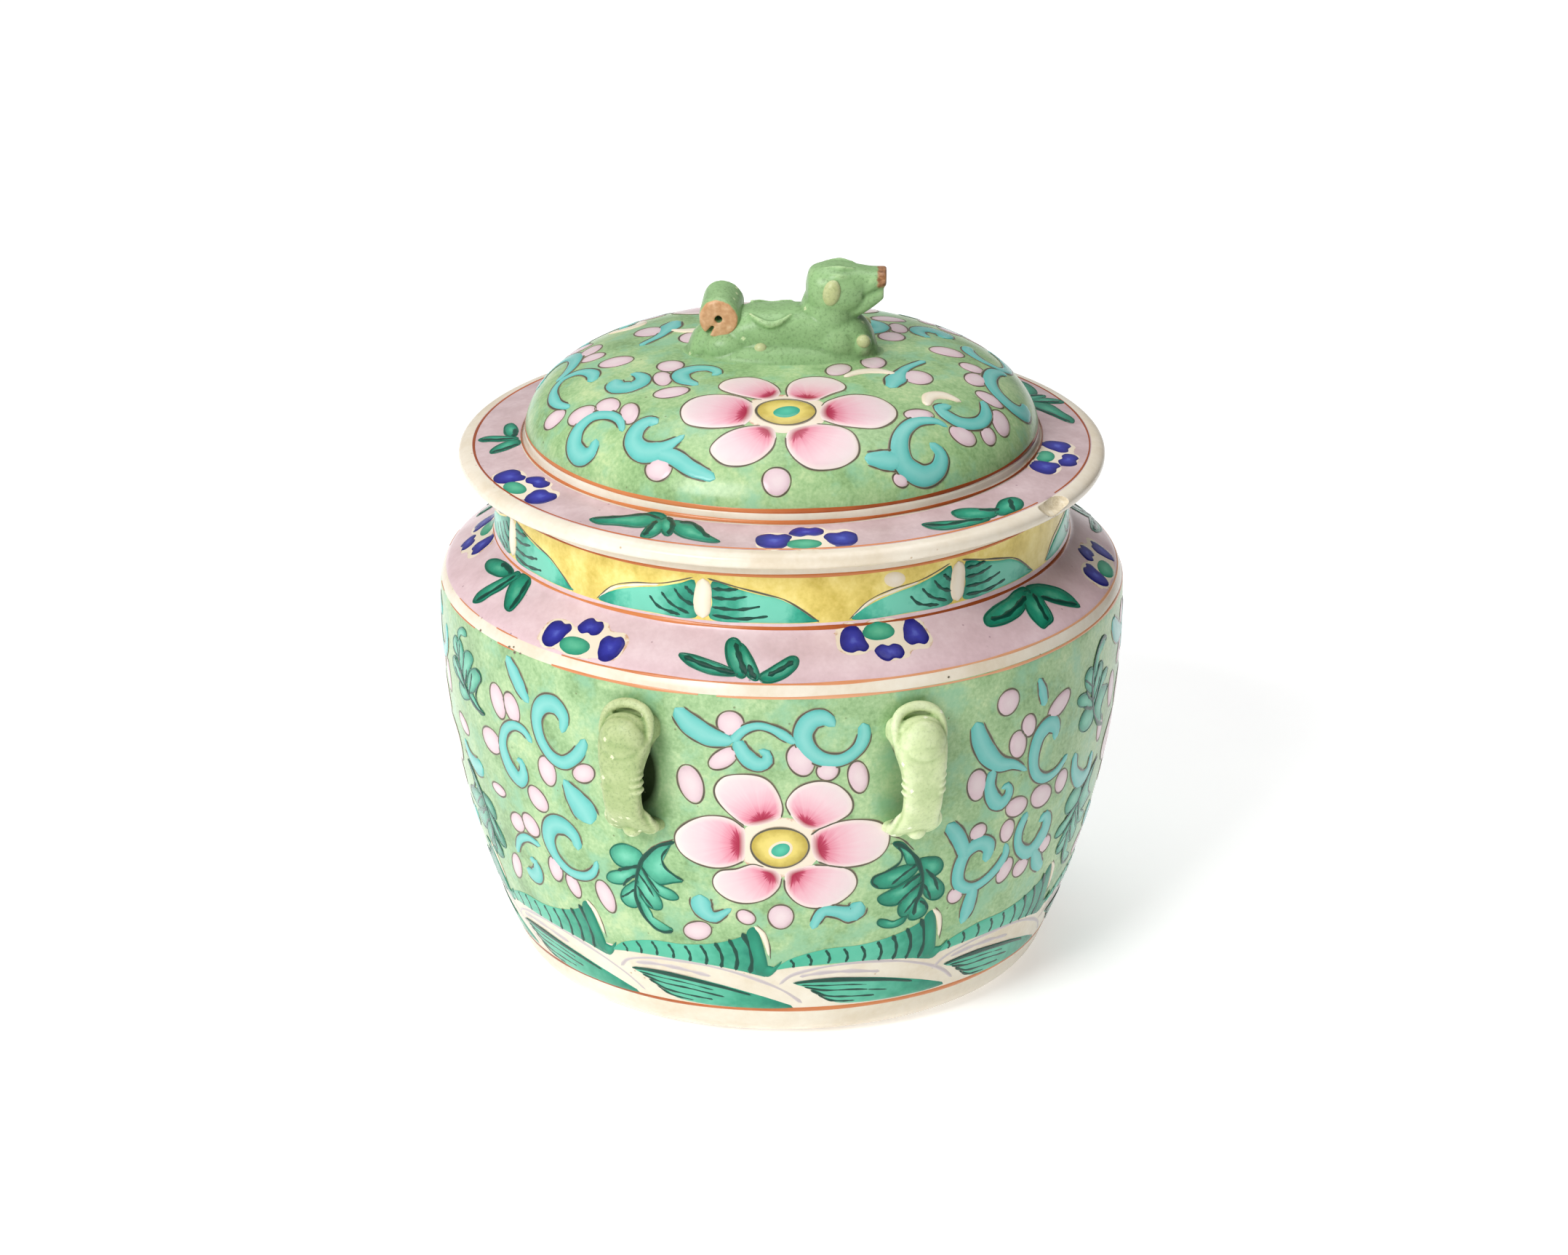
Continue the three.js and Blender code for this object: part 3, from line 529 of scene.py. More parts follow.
RIGHT_VEINS = [
    ([(26.5, 51.4), (29.6, 49.5), (32.3, 46.3), (33.8, 43), (34.5, 40), (34.2, 37), (33.5, 34.8),
            (33.4, 31.6)], 0.75),
    ([(32.6, 45), (29.5, 43), (26.8, 40.8)], 0.5),
    ([(33.9, 42.3), (31.5, 40.9), (29.6, 39.3)], 0.5),
    ([(34.3, 40), (31.6, 38.1), (28.8, 35.4)], 0.5),
    ([(33.6, 36.6), (32.3, 34.6), (30.8, 32.6)], 0.5),
    ([(34.8, 43.4), (37.2, 40.6), (38.9, 37)], 0.6),
    ([(34.8, 39.6), (36.2, 37.3), (37.3, 35)], 0.5),
    ([(34.4, 35.2), (36, 34), (37, 32.4)], 0.5),
    ([(27.4, 50.4), (28.7, 48.4), (28.2, 46), (25.5, 44.4), (22.7, 43.4), (22.2, 41.9), (23.8, 40.3)], 0.35),
]
print("scrolls on one side of the jar:", len(FRONT_SCROLLS + LEFT_SCROLLS + RIGHT_SCROLLS))

# %% [markdown]
# ## Painting the belly
# The great flower faces front and back, and a smaller one each side. Between them stand two
# different scroll groups, and small leaves fill the places that the lugs take at the front and back.

# %% Belly
for quarter in range(4):
    turn, size = 90 * quarter, 1 - 0.16 * (quarter % 2)
    for outline in FLOWER_PETALS:
        petal(BODY, put(np.subtract(outline, FLOWER_AT), FLOWER_AT, size), FLOWER_AT, turn)
    heart(BODY, FLOWER_AT, 6.2 * size, 4.9 * size, turn)
    for path, widths in FRONT_SCROLLS:
        scroll(BODY, path, widths, turn)
    for x, y, rx, ry, lean in FRONT_BUDS:
        bud(BODY, (x, y), rx, ry, lean, turn)
    leaf(BODY, LEFT_LEAF, LEFT_VEINS, turn, pot="foliage")
    leaf(BODY, RIGHT_LEAF, RIGHT_VEINS, turn)
    line("outline", BODY, [(-29.5, 47), (-26, 50.2), (-21.6, 52.4)], 0.4, turn)
    line("outline", BODY, [(25.4, 53.4), (28.6, 51.8), (31.6, 48.6)], 0.4, turn)
for turn in (0, 180):
    for path, widths in LEFT_SCROLLS + RIGHT_SCROLLS:
        scroll(BODY, path, widths, turn)
    for x, y, rx, ry, lean in LEFT_BUDS + RIGHT_BUDS:
        bud(BODY, (x, y), rx, ry, lean, turn)
for side in (90, 270):
    leaf(BODY, RIGHT_LEAF, RIGHT_VEINS, side, {"move": (39.5, 119), "size": 0.88, "lean": 210}, "foliage")
    leaf(BODY, LEFT_LEAF, LEFT_VEINS, side, {"move": (-2.6, 107.6), "size": 0.92, "flip": True, "lean": 180},
        "foliage")
print("belly painted:", {k: len(v) for k, v in POTS.items()})

# %% [markdown]
# ## Borders
# The foot border has eleven green panels that rise to a curled end, over eleven overlapping leaves.
# The neck has seven low arches on yellow.

# %% Foot border
# the panels repeat at this pitch, but each one sits a little off its place, as painted by eye
PANELS = 11
PITCH = 2 * math.pi * BODY.radius / PANELS
for k in range(PANELS):
    at = (k * PITCH + 0.8 * math.sin(2.3 * k), 0.5 * math.sin(1.7 * k))
    top = smooth([(-42.3, 19.9), (-38, 22.6), (-30, 24.7), (-22, 25), (-14, 26.3), (-8, 28.4), (-4.8, 30.6)],
        24)
    low = smooth([(-42.3, 19.2), (-37, 20), (-28, 20.5), (-16, 20.1), (-8, 19), (-5.2, 18.3), (-2.2, 17.6)],
        24)
    both = put(np.stack([low, top], 1).reshape(-1, 2), at).reshape(24, 2, 2)
    across = np.linspace(0, 1, 9)[None, :, None]
    places = both[:, :1] * (1 - across) + both[:, 1:] * across
    lifts = 0.05 + 0.14 * (1 - (2 * np.linspace(0, 1, 9) - 1) ** 6) * np.ones((24, 1))
    tone = np.linspace(0, 1, 24)[:, None] ** 1.6 * np.ones((1, 9))
    pour("panel", BODY, places.reshape(-1, 2), lifts.ravel(), grid_faces(24, 9), tone.ravel(),
        places.reshape(-1, 2), 0)
    fill("panel_end", BODY, put([(-6.4, 29.2), (-4.6, 31.4), (-3.2, 29), (-2.2, 25), (-1.5, 21), (-1.6, 18.4),
        (-4.4, 18.2), (-5.2, 22)], at), None, 0, 0.16, 0.07)
    fill("panel_end", BODY, put([(-3.4, 18.8), (-2.2, 20.8), (0.2, 20.6), (2, 22.2), (0.4, 19.2),
        (-1.6, 17.6)], at), None, 0, 0.14, 0.08, n=26, rings=5)
    stroke("white", BODY, put([(-4.4, 31.6), (-2.6, 29.6), (-1.6, 26.4), (-1.2, 23.6)], at),
        [0.7, 1.5, 1.2, 0.5], 0, 0.16, 0.05)
    line("outline", BODY, put([(-3.9, 32), (-2.0, 29.8), (-0.9, 26.2), (-0.8, 22.6)], at), 0.3)
    # dark hatch lines that bow a little as they rise from the panel's foot to its head
    for x, foot, head in [(-38.6, 20.2, 22.2), (-34.4, 20.6, 23.6), (-30, 21, 24.5), (-25.6, 21, 24.6),
        (-21.3, 20.8, 24.8), (-17.2, 20.4, 25.4), (-13.4, 20, 26.4), (-9.8, 19.5, 27.6), (-6.3, 18.9, 29.4)]:
        grow = (head - foot) / 10
        bulge = np.array([(0.3, 0), (0.5 + 0.5 * grow, 0.35), (0.3 + 0.3 * grow, 0.7),
            (-0.2 - 0.8 * grow, 1.06)])
        line("vein", BODY, put(bulge * (1, head - foot) + (x, foot - 0.3), at), 0.7 + 0.55 * grow, base=0.18,
            swing=0.25, n=16)
    lens = put([(-38.2, 15.4), (-33, 16.1), (-25, 16.1), (-15, 14.9), (-5, 12.5), (2, 10.2), (5.2, 8.7),
        (0, 8.3), (-10, 8.3), (-20, 8.4), (-27, 9.2), (-31, 11.8), (-34.4, 13.8)], at)
    fill("panel", BODY, lens, lens[0], 0, 0.16, 0.05, n=60, rings=8)
    white = [(-41.6, 15), (-38, 17.8), (-30, 19.7), (-21, 20.1), (-12, 19), (-4, 16.6), (2.4, 13.6),
        (7.2, 10)]
    line("shade", BODY, put(white, at), 0.8, crown=0.05, base=0.04)
    line("shade", BODY, put([(-36.5, 17.2), (-31, 18), (-24, 17.9), (-16, 16.8)], at), 1.0, crown=0.05,
        base=0.04)
    stroke("vein", BODY, put([(-38, 15.4), (-32, 15.9), (-24, 15.6), (-14, 14.2), (-6, 12.3)], at),
        [0.5, 1.3, 1.0, 0.5], base=0.2, crown=0.04)
    for path, width in [
        ([(-36, 14.8), (-31, 14.5), (-23, 14.1), (-15, 12.9)], 0.45),
        ([(-35.2, 14.2), (-30, 13.1), (-22, 12.6), (-13, 11.3)], 0.6),
        ([(-33.6, 13.2), (-29.4, 11.4), (-24, 10.8), (-16, 10.2)], 0.6),
        ([(-31.6, 11.8), (-28, 9.9), (-21.6, 9.3)], 0.5),
    ]:
        line("vein", BODY, put(path, at), width, base=0.2)
print("foot border:", len(POTS["jar_panel"]), "panels and leaves")

# %% [markdown]
# ## Neck arches
# Low green arches run round the neck's yellow, each with a white stem in the middle. A half is dark
# at its tip and paler further in, so its tone is measured from that tip.

# %% Neck arches
ARCHES = 7
for k in range(ARCHES):
    at = (-15.1 + k * 2 * math.pi * NECK_R / ARCHES + 0.5 * math.sin(2.9 * k), 0)
    left = put([(-25, 99.3), (-21.2, 102.2), (-16, 104), (-10, 105.3), (-5, 106.8), (-1.8, 107.8),
        (-1.8, 103), (-1.9, 99.3), (-12, 99.2)], at)
    right = put([(2, 107.9), (7, 106.7), (12, 105.5), (16, 104.7), (20, 102.6), (23, 100.3), (24.2, 99.3),
        (12, 99.2), (1.9, 99.3), (2, 103)], at)
    for shape, tip in ((left, left[0]), (right, right[6])):
        fill("arch", NECK, shape, tip, 0, 0.16, 0.05, n=72, rings=16)
    stroke("white", NECK, put([(-0.1, 99.5), (-0.2, 103), (0.1, 106), (0, 108.4)], at), [3.2, 4.0, 3.8, 2.6],
        0, 0.2, 0.06, cols=9)
    line("white", NECK, put([(-25, 99.8), (-21, 102.9), (-15.8, 104.6), (-10, 105.7)], at), 0.55)
    line("outline", NECK, put([(1, 108.5), (7, 107.1), (13, 105.7), (17.4, 104.4), (21.4, 101.8),
        (24.6, 99.2)], at), 0.4)
    line("outline", NECK, put([(-25.6, 99.4), (-21.4, 103.2), (-16, 105.1), (-9, 106.2), (-2.2, 108.4)], at),
        0.26)
    for path in [
        [(-12.2, 103.2), (-9.8, 100.8), (-5, 99.7)], [(-9.4, 104.4), (-7, 101.9), (-3, 100.2)],
        [(-6.4, 105.6), (-4.6, 103.4), (-2, 102.2)], [(-4, 106.4), (-2.8, 105.2), (-2, 104.6)],
        [(2, 106.4), (5, 106.3), (7.6, 106.6)], [(2, 104.4), (5.8, 104.3), (9.6, 105.1)],
        [(2, 102.2), (7.4, 102), (12.6, 103)], [(2, 100.4), (8, 100), (14.2, 100.8)],
    ]:
        line("vein", NECK, put(path, at), 0.85, base=0.2)
fill("white", NECK, oval((26, 107.2), 2.6, 1.8, -12), None, 0, 0.05, 0.03, n=24, rings=4)
print("neck arches done")

# %% [markdown]
# ## Sprigs on the lavender bands
# Indigo blossoms with a green heart take turns with green sprigs, on the shoulder and on the cover's
# flange. They are loose single brush dabs. A sprig's leaf is an outline and a dark stroke, measured
# from the sprig's own place round the pot.

# %% Lavender bands
BLOSSOM_GROUND = [(-12.6, 1.5), (-12.2, 4.2), (-9.6, 5.7), (-6, 5.7), (-3.6, 4.8), (-2.2, 6.6), (-0.4, 8.5),
    (2.6, 8.4), (5.0, 8.2), (6.4, 6.6), (8.6, 6.4), (11, 6.6), (13, 4.8), (13, 1.8), (12.2, -1), (10, -2.3),
    (7, -2.1), (5, -2.9), (2, -3.4), (-2, -3.4), (-5, -2.8), (-9, -3.5), (-12, -1.8)]
BLOSSOM_LOBES = [
    [(-11.6, 1.5), (-11.2, 3.6), (-9.2, 4.6), (-7.4, 4.2), (-5.8, 4.6), (-4.4, 3.4), (-4.9, 1.6),
        (-5.2, -0.4), (-6.6, -2.2), (-8.8, -2.4), (-10.8, -1)],
    [(-1.6, 4.4), (-0.9, 6.6), (0.8, 7.7), (2.6, 7.2), (4.2, 7.4), (5.6, 6.2), (5.3, 4.2), (3.6, 3.4),
        (2.1, 3.8), (0.4, 3.2)],
    [(5.4, 3.6), (6.6, 5.2), (8.6, 5.1), (10.4, 5.6), (12, 4.2), (12, 2), (11.4, 0.2), (9.8, -1.2),
        (7.8, -1.2), (6.4, 0.2), (5.8, 1.9)],
]
SPRIG_LOW = [
    ([(-16.9, 7.1), (-14.6, 7.1), (-10, 6.1), (-6.2, 4.8), (-4, 3.3), (-6.2, 2.7), (-10, 2.9), (-13.8, 4.4),
            (-16.4, 6.1)], [(-15.8, 6.5), (-10, 4.6), (-4.6, 3.3)]),
    ([(-4.4, 10.8), (-3, 9.9), (-1.2, 6.7), (0.1, 3.9), (0, 2), (-1.5, 2.4), (-2.5, 4.3), (-3.8, 7.7)],
        [(-2.0, 5.7), (-1.2, 3.5), (-0.4, 2.1)]),
    ([(-6.7, 11.8), (-5.6, 12), (-4.4, 10.9), (-3.2, 7.7), (-2.3, 4.1), (-3, 2.4), (-4.7, 3.2), (-6.3, 5.9),
            (-7.1, 8.6), (-7.3, 10.7)], [(-5.4, 10.9), (-4.0, 7.1), (-2.4, 3.1)]),
    ([(0.3, 2.9), (2.3, 4.7), (4.6, 6.6), (6.9, 7.8), (8.1, 7.2), (7.8, 5.2), (6.2, 3.3), (3.8, 1.9),
            (1.4, 1.5)], [(2, 3), (5, 4.9), (7.2, 6.7)]),
]
SPRIG_LEFT = [
    ([(-12.4, 9.9), (-13.1, 11.1), (-10.6, 12.6), (-6.9, 13.5), (-3.1, 13.6), (-0.5, 13.1), (-0.9, 12.1),
            (-3, 10.6), (-6.6, 9.8), (-9.8, 9.5)], [(-7.4, 12.8), (-4.1, 13.1), (-0.7, 12.8)]),
    ([(-2.5, 2.7), (-4, 4.3), (-4, 6), (-3.2, 8.1), (-2.1, 10.1), (-0.9, 12.1), (0.8, 13.9), (2.9, 13.5),
            (2.1, 11.3), (1.4, 8.7), (0.3, 6.3), (-0.5, 3.8)], [(-2.1, 3.2), (-0.4, 7.6), (1.3, 13)]),
    ([(7.5, 5.8), (5, 7.6), (3, 9.9), (2, 12.2), (2.9, 14), (5.9, 14.3), (7.5, 13.6), (8.6, 11.8), (9.5, 10),
            (10, 7.8), (9.8, 5.7)], [(9.2, 5.9), (8.5, 9.2), (6.5, 13.8)]),
]
SPRIG_RIGHT = [
    ([(-14.8, 10.5), (-12.9, 11.5), (-9.3, 12.4), (-5, 13), (-1.6, 13.7), (1.9, 13.5), (2.3, 11.9),
            (-0.6, 10.2), (-4.4, 8.6), (-7.4, 8), (-11, 7.8), (-14.6, 8.2), (-15.4, 9.1)],
            [(-13.5, 9.7), (-8.6, 9.5), (0.2, 11.6)]),
    ([(0.1, 12.7), (3.3, 12.1), (4.5, 10.3), (3.6, 8), (2.8, 5.8), (1.6, 4.1), (-1, 3.5), (-2.6, 3.3),
            (-3.1, 5), (-3, 7.5), (-1.9, 10.2)], [(2.9, 11.4), (1.4, 7.9), (0, 4.3)]),
    ([(2.3, 13.3), (6.5, 12.8), (10, 10.6), (12, 8.6), (12.7, 6.4), (12.5, 4.6), (11.8, 3.3), (9.3, 4.8),
            (6.3, 7.1), (4.3, 9.1), (2.5, 11.1)], [(4.1, 10), (7.2, 7.3), (11.7, 4.1)]),
]
SPRIG_ARCHED = [
    ([(-15.1, 6.9), (-13.9, 8.6), (-10.6, 10.6), (-8, 12.4), (-6.1, 13.8), (-3.7, 14.7), (-0.9, 14.5),
            (-0.3, 12.4), (-1.4, 10.4), (-3.7, 8.2), (-8.4, 7.3), (-11.3, 6.3), (-13, 6.1)],
            [(-14.7, 7.4), (-10.4, 10.3), (-5.3, 13.5), (-1.2, 12.8)]),
    ([(-1.6, 4.7), (-2.3, 6.8), (-2.3, 9.4), (-1.8, 11.9), (-0.6, 13), (0.7, 11.4), (1.2, 8.2), (0.8, 5.8),
            (-0.2, 4.5)], [(-1.2, 5.2), (-1.5, 8.3), (-1.7, 12)]),
    ([(-0.9, 12.2), (0.1, 14.3), (2.1, 12.5), (3.5, 9.6), (3.5, 7), (2.5, 7), (0.5, 9.4)],
        [(0.1, 14.2), (2.5, 11.3), (3.2, 7.2)]),
    ([(1.7, 13), (3.9, 13.3), (6.4, 12.9), (8.7, 11.2), (10.9, 9.1), (13, 7.5), (14.1, 6.5), (12.9, 6),
            (11.1, 6), (8.6, 6.4), (6.2, 7.1), (4.1, 8.5), (2.5, 10.6)],
            [(3.4, 12.8), (7, 12.7), (11.8, 7.6)]),
]
SPRIG_TRAILING = [
    ([(-12.7, 9.5), (-11, 9.5), (-7.5, 8.7), (-4.2, 7.5), (-1, 6.1), (1.6, 5.7), (-0.3, 4.8), (-3.6, 4.9),
            (-6.7, 5.2), (-9.5, 5.7), (-11.7, 7), (-12.6, 8.4)], [(-12.6, 9.1), (-8.4, 7.3), (-3.9, 6.9),
            (0.2, 5.8)]),
    ([(-3.5, 11.5), (-1.2, 11.8), (1.2, 10.9), (3.3, 9.3), (5.4, 7.9), (4.5, 6.1), (1.9, 5.5), (-1.4, 6.7),
            (-3.7, 8.3), (-4.2, 10)], [(2.1, 9.6), (4.1, 7.9), (6.2, 7.4)]),
    ([(4, 6.5), (6.4, 8.4), (9.3, 9.7), (11.6, 9.7), (13.1, 9), (13.3, 7.5), (12, 6), (9.7, 4.9), (7, 4.9),
            (4.8, 5)], [(11.7, 9.2), (9.4, 6.8), (8.1, 5)]),
]
print("sprig shapes ready")

# %% [markdown]
# ## Blossoms and sprigs
# Each motif is a function, and then come the places where it stands. On the near side they are the
# real jar's, and on the far side they are guessed to go on in the same way.


# %% Blossoms and sprigs
def blossom(zone, x, y, size=1.0, up=1, fat=1.0):
    """Three scalloped indigo lobes round a green dab, all on cream. fat swells the lobes."""
    place = lambda shape: np.asarray(shape, float) * (size, size * up) + (x, y)
    fill("halo", zone, place(BLOSSOM_GROUND), crown=0.04, base=0.02, n=72, rings=6)
    for lobe, shift in zip(BLOSSOM_LOBES, ((0.6, 0.2), (-1.4, 0.3), (-0.4, -0.6))):
        lobe = np.asarray(lobe, float)
        swollen = (lobe - lobe.mean(0)) * (fat, 1.1) + lobe.mean(0) + shift
        fill("indigo", zone, place(swollen), base=0.06, n=44, rings=7)
    fill("mint", zone, place(oval((-0.6, -0.2), 4.5, 2.6)), base=0.06, n=30, rings=6)


def sprig(zone, leaves, x, size=1.0):
    """Pointed green leaves that spring from one place, each with a dark stroke down it."""
    for outline, rib in leaves:
        outline, rib = (put(np.subtract(part, (0, 14)), (x, 14), size) for part in (outline, rib))
        fill("leaf", zone, outline, base=0.05, n=40, rings=6)
        line("leaf_edge", zone, outline, 0.5, closed=True, base=0.11, n=60)
        line("vein", zone, rib, 1.25, base=0.165, swing=0.3)


# Sprigs and blossoms take turns. A blossom's second number is 1 upright, -1 upside down.
for leaves, x in [(SPRIG_LOW, -3), (SPRIG_RIGHT, 65), (SPRIG_LOW, 134), (SPRIG_RIGHT, -206),
    (SPRIG_LEFT, -134), (SPRIG_LEFT, -75)]:
    sprig(SHOULDER, leaves, x)
for x, up in [(-43, 1), (24.4, -1), (99, 1), (166, -1), (-172, 1), (-106, -1)]:
    blossom(SHOULDER, x, 8.3 - 4.2 * up, 0.9, up)
for leaves, x in [(SPRIG_ARCHED, -25), (SPRIG_TRAILING, 45), (SPRIG_ARCHED, 123), (SPRIG_TRAILING, -186)]:
    sprig(FLANGE, leaves, x)
sprig(FLANGE, SPRIG_LEFT, -93, 0.76)
for x, up in [(-64, 1), (6.5, 1), (84, -1), (161, 1), (-146, -1)]:
    blossom(FLANGE, x, 9.6 - 3.1 * up, 0.86, up, 1.25)
print("bands painted")

# %% [markdown]
# ## Painting the dome
# The dome's chart is seen from above. The same composition faces front and back.

# %% Dome
# the middle of the flower's heart
DOME_FLOWER_AT = (1.8, -35.8)
DOME_PETALS = [
    [(-3.4, -30.6), (-8, -28.5), (-11.5, -26), (-12.7, -23.5), (-11.5, -20.5), (-8.5, -18.8), (-5.5, -18.8),
        (-2.5, -21), (-0.5, -24), (0.3, -27), (-0.8, -29.8)],
    [(2.2, -29), (1.8, -25.5), (2.7, -21.5), (5.2, -18.7), (8.5, -17.9), (11.5, -19), (13.8, -21.8),
        (13.8, -24.5), (11.3, -27), (8.8, -29.8), (6, -31)],
    [(-5.7, -32), (-8, -29.5), (-11.5, -28), (-15.5, -28), (-18.5, -29.5), (-20.3, -32.5), (-20.3, -36),
        (-18.8, -39), (-15, -40.8), (-10.5, -41.2), (-7, -40.6), (-5.3, -37)],
    [(9.5, -33), (10.8, -30.5), (14.5, -27.5), (18, -26.7), (21.5, -27.6), (24.5, -30.5), (25.2, -33.5),
        (24, -36.5), (21.5, -38.9), (18, -39.8), (13.5, -39.8), (10, -38.5), (9, -36)],
    [(-3.6, -41.2), (-8, -42), (-11.5, -44), (-13.9, -47), (-13.3, -49.5), (-10.8, -51.8), (-7, -52.3),
        (-3.5, -51), (-1, -48.3), (-0.2, -45), (-1, -42)],
    [(3.4, -42.3), (2.2, -45), (2.6, -48), (4.5, -51), (7.5, -52.8), (11, -52.7), (14.5, -51.3),
        (17.2, -48.5), (17.5, -45.3), (16, -42), (13, -40.5), (8.5, -40.3)],
]
DOME_SCROLLS = [
    ([(-25.6, -37), (-27.5, -35.7), (-30, -37), (-31.2, -40.5), (-29.3, -44), (-25.5, -45.2), (-21.5, -43.5),
            (-19.7, -42.2)], [2.2, 3.4, 3.6, 3.9, 4.5, 4.5, 2.4, 0.9]),
    ([(-26, -45.4), (-22, -48), (-18.5, -51.5), (-13.3, -54.8)], [3.4, 3.3, 3.0, 1.7]),
    ([(-33.5, -36.6), (-34.3, -32.5), (-37, -29.3), (-40.8, -28), (-44.5, -30), (-46, -34), (-44.3, -37.6),
            (-41.5, -38), (-40, -35.4)], [1.1, 1.8, 2.3, 2.7, 3.3, 3.9, 4.1, 3.4, 1.8]),
    ([(-46.2, -20.2), (-49.3, -16), (-50.7, -11), (-50.2, -7), (-48, -4.6), (-44, -5), (-41, -8.5),
            (-41, -12.8)], [1.3, 1.9, 2.5, 2.1, 1.7, 2.3, 2.9, 1.9]),
    ([(-35.6, -14.6), (-35.3, -18.4), (-31.5, -19.8), (-29.5, -17), (-30.6, -14), (-32.4, -13)],
        [2.4, 4.1, 4.5, 3.7, 2.6, 1.3]),
    ([(-17.3, -22.2), (-20.5, -19.5), (-21.3, -15.5), (-18.5, -12.8), (-15, -13), (-13.4, -15.5),
            (-14.6, -17)], [1.4, 3.0, 3.5, 3.3, 2.9, 2.4, 1.2]),
    ([(33.2, -39.3), (36.2, -41), (36.2, -45), (33, -48), (28.3, -47.3), (26.6, -43.3), (27.2, -38.3),
            (29.9, -34), (34, -32), (36.8, -32.6)], [1.8, 3.1, 3.7, 4.5, 4.7, 3.7, 2.9, 2.6, 2.2, 0.9]),
    ([(19.2, -48.4), (23, -47.8), (27.4, -46.6)], [2.4, 4.2, 4.4]),
    ([(44.4, -17.4), (45.5, -22), (44, -26.5), (40, -29.3), (36.5, -28.8), (34.8, -26.8), (37.2, -24.6)],
        [1.6, 2.6, 2.7, 2.9, 3.3, 2.9, 1.4]),
    ([(23.8, -21.8), (24.8, -17.5), (26, -13), (27.4, -9.5), (31.2, -4.2)], [1.8, 4.3, 2.1, 1.6, 1.4]),
    ([(56.2, -5.5), (55.5, -10.5), (51.5, -12.6), (47.5, -10.5), (45.8, -5.5), (47, 0.5), (50, 4)],
        [2.6, 3.7, 3.9, 3.3, 3.0, 2.7, 1.8]),
]
DOME_BUDS = [
    (0.3, -56.3, 2.8, 2.9, 0), (-43.2, -25.5, 3.3, 2.7, -20), (-37, -26, 2.4, 3.1, 30),
    (-32, -31, 1.9, 3.6, 5),
    (-26, -49.6, 2.9, 2.4, -20), (-50.5, -20.5, 3.0, 2.4, -30), (-23.8, -10.5, 2.6, 3.0, 0),
    (-25.2, -17.5, 1.8, 3.6, 8),
    (-23, -25, 3.5, 2.2, 10), (-36, -4.3, 3.5, 2.7, 0), (49.3, -21.7, 2.4, 3.6, 10),
    (46.7, -28.5, 1.9, 2.4, 0),
    (40.6, -33, 3.0, 2.4, 10), (30.3, -31.5, 3.1, 1.9, 24), (28, -51, 1.7, 1.3, 0),
    (12.5, -13, 2.3, 3.5, -20),
    (20, -7.8, 2.4, 3.4, 0), (29.5, -14.4, 3.1, 3.4, 0), (42.5, -8.5, 2.2, 3.3, -20),
    (46, -15.2, 3.1, 2.1, 0),
    (41.6, -2.5, 2.5, 2.2, 0),
]
for turn in (0, 180):
    for outline in DOME_PETALS:
        petal(DOME, outline, DOME_FLOWER_AT, turn)
    heart(DOME, DOME_FLOWER_AT, 6.3, 5.2, turn, ringed=False)
    for path, widths in DOME_SCROLLS:
        scroll(DOME, path, widths, turn)
    for x, y, rx, ry, lean in DOME_BUDS:
        bud(DOME, (x, y), rx, ry, lean, turn)
    stroke("white", DOME, [(31.8, -27.2), (32.4, -23), (35.4, -21), (39.4, -21.6)], [1.8, 3.2, 3.2, 1.2],
        turn, 0.2, 0.05)
    stroke("white", DOME, [(13.8, -17.4), (17, -14), (21, -12.8), (25, -14)], [1.2, 2.6, 3.0, 1.2], turn, 0.2,
        0.05)
print("dome painted")

# %% [markdown]
# ## Rings
# Iron red lines mark where one zone ends and the next begins. They are drawn on a turning wheel,
# so they run all the way round while their weight changes. Wear and the chip have broken some since.


# %% Red rings
def ring(pot, zone, b, width, wave=0.12, phase=0.0, broken=0.0, worn=0.0):
    """A line round the pot at chart height b, with a slow waver and changing weight.

    It stops at the chip where broken gives the gap's half angle. A worn line thins out on the left
    (-X) and has gaps there."""
    t = np.linspace(0, 2 * math.pi, 240, endpoint=False)
    a = t * zone.radius
    line_b = b + wave * np.sin(2 * t + phase) + 0.4 * wave * np.sin(7 * t + 2 * phase)
    left = worn * (0.5 - 0.5 * np.sin(t) + 0.2 * np.sin(9 * t + phase) + 0.2 * np.sin(23 * t))
    half = width / 2 * (1 + 0.25 * np.sin(3 * t + phase) + 0.15 * np.sin(11 * t)) * (1 - 0.7 * np.clip(left,
        0, 1))
    v = np.linspace(-1, 1, 5)
    if zone.disc:
        reach = line_b[:, None] - half[:, None] * v
        places = np.stack([reach * np.sin(t)[:, None], -reach * np.cos(t)[:, None]], -1)
    else:
        places = np.stack([np.broadcast_to(a[:, None], (240, 5)), line_b[:, None] + half[:, None] * v], -1)
    lifts = np.broadcast_to(0.05 + 0.06 * (1 - v**2) - 0.04 * (np.abs(v) > 0.9), (240, 5))
    tone = np.broadcast_to(0.5 + 0.5 * np.sin(2 * t + 1.3 * phase)[:, None], (240, 5))
    faces = grid_faces(240, 5, closed=True)
    faces = faces[(np.abs(t[faces[:, 3] // 5] - CHIP_AZIMUTH) >= broken) & (left[faces[:, 3] // 5] < 0.85)]
    pour(pot, zone, places.reshape(-1, 2), lifts.ravel(), faces, tone.ravel(), places.reshape(-1, 2), 0)


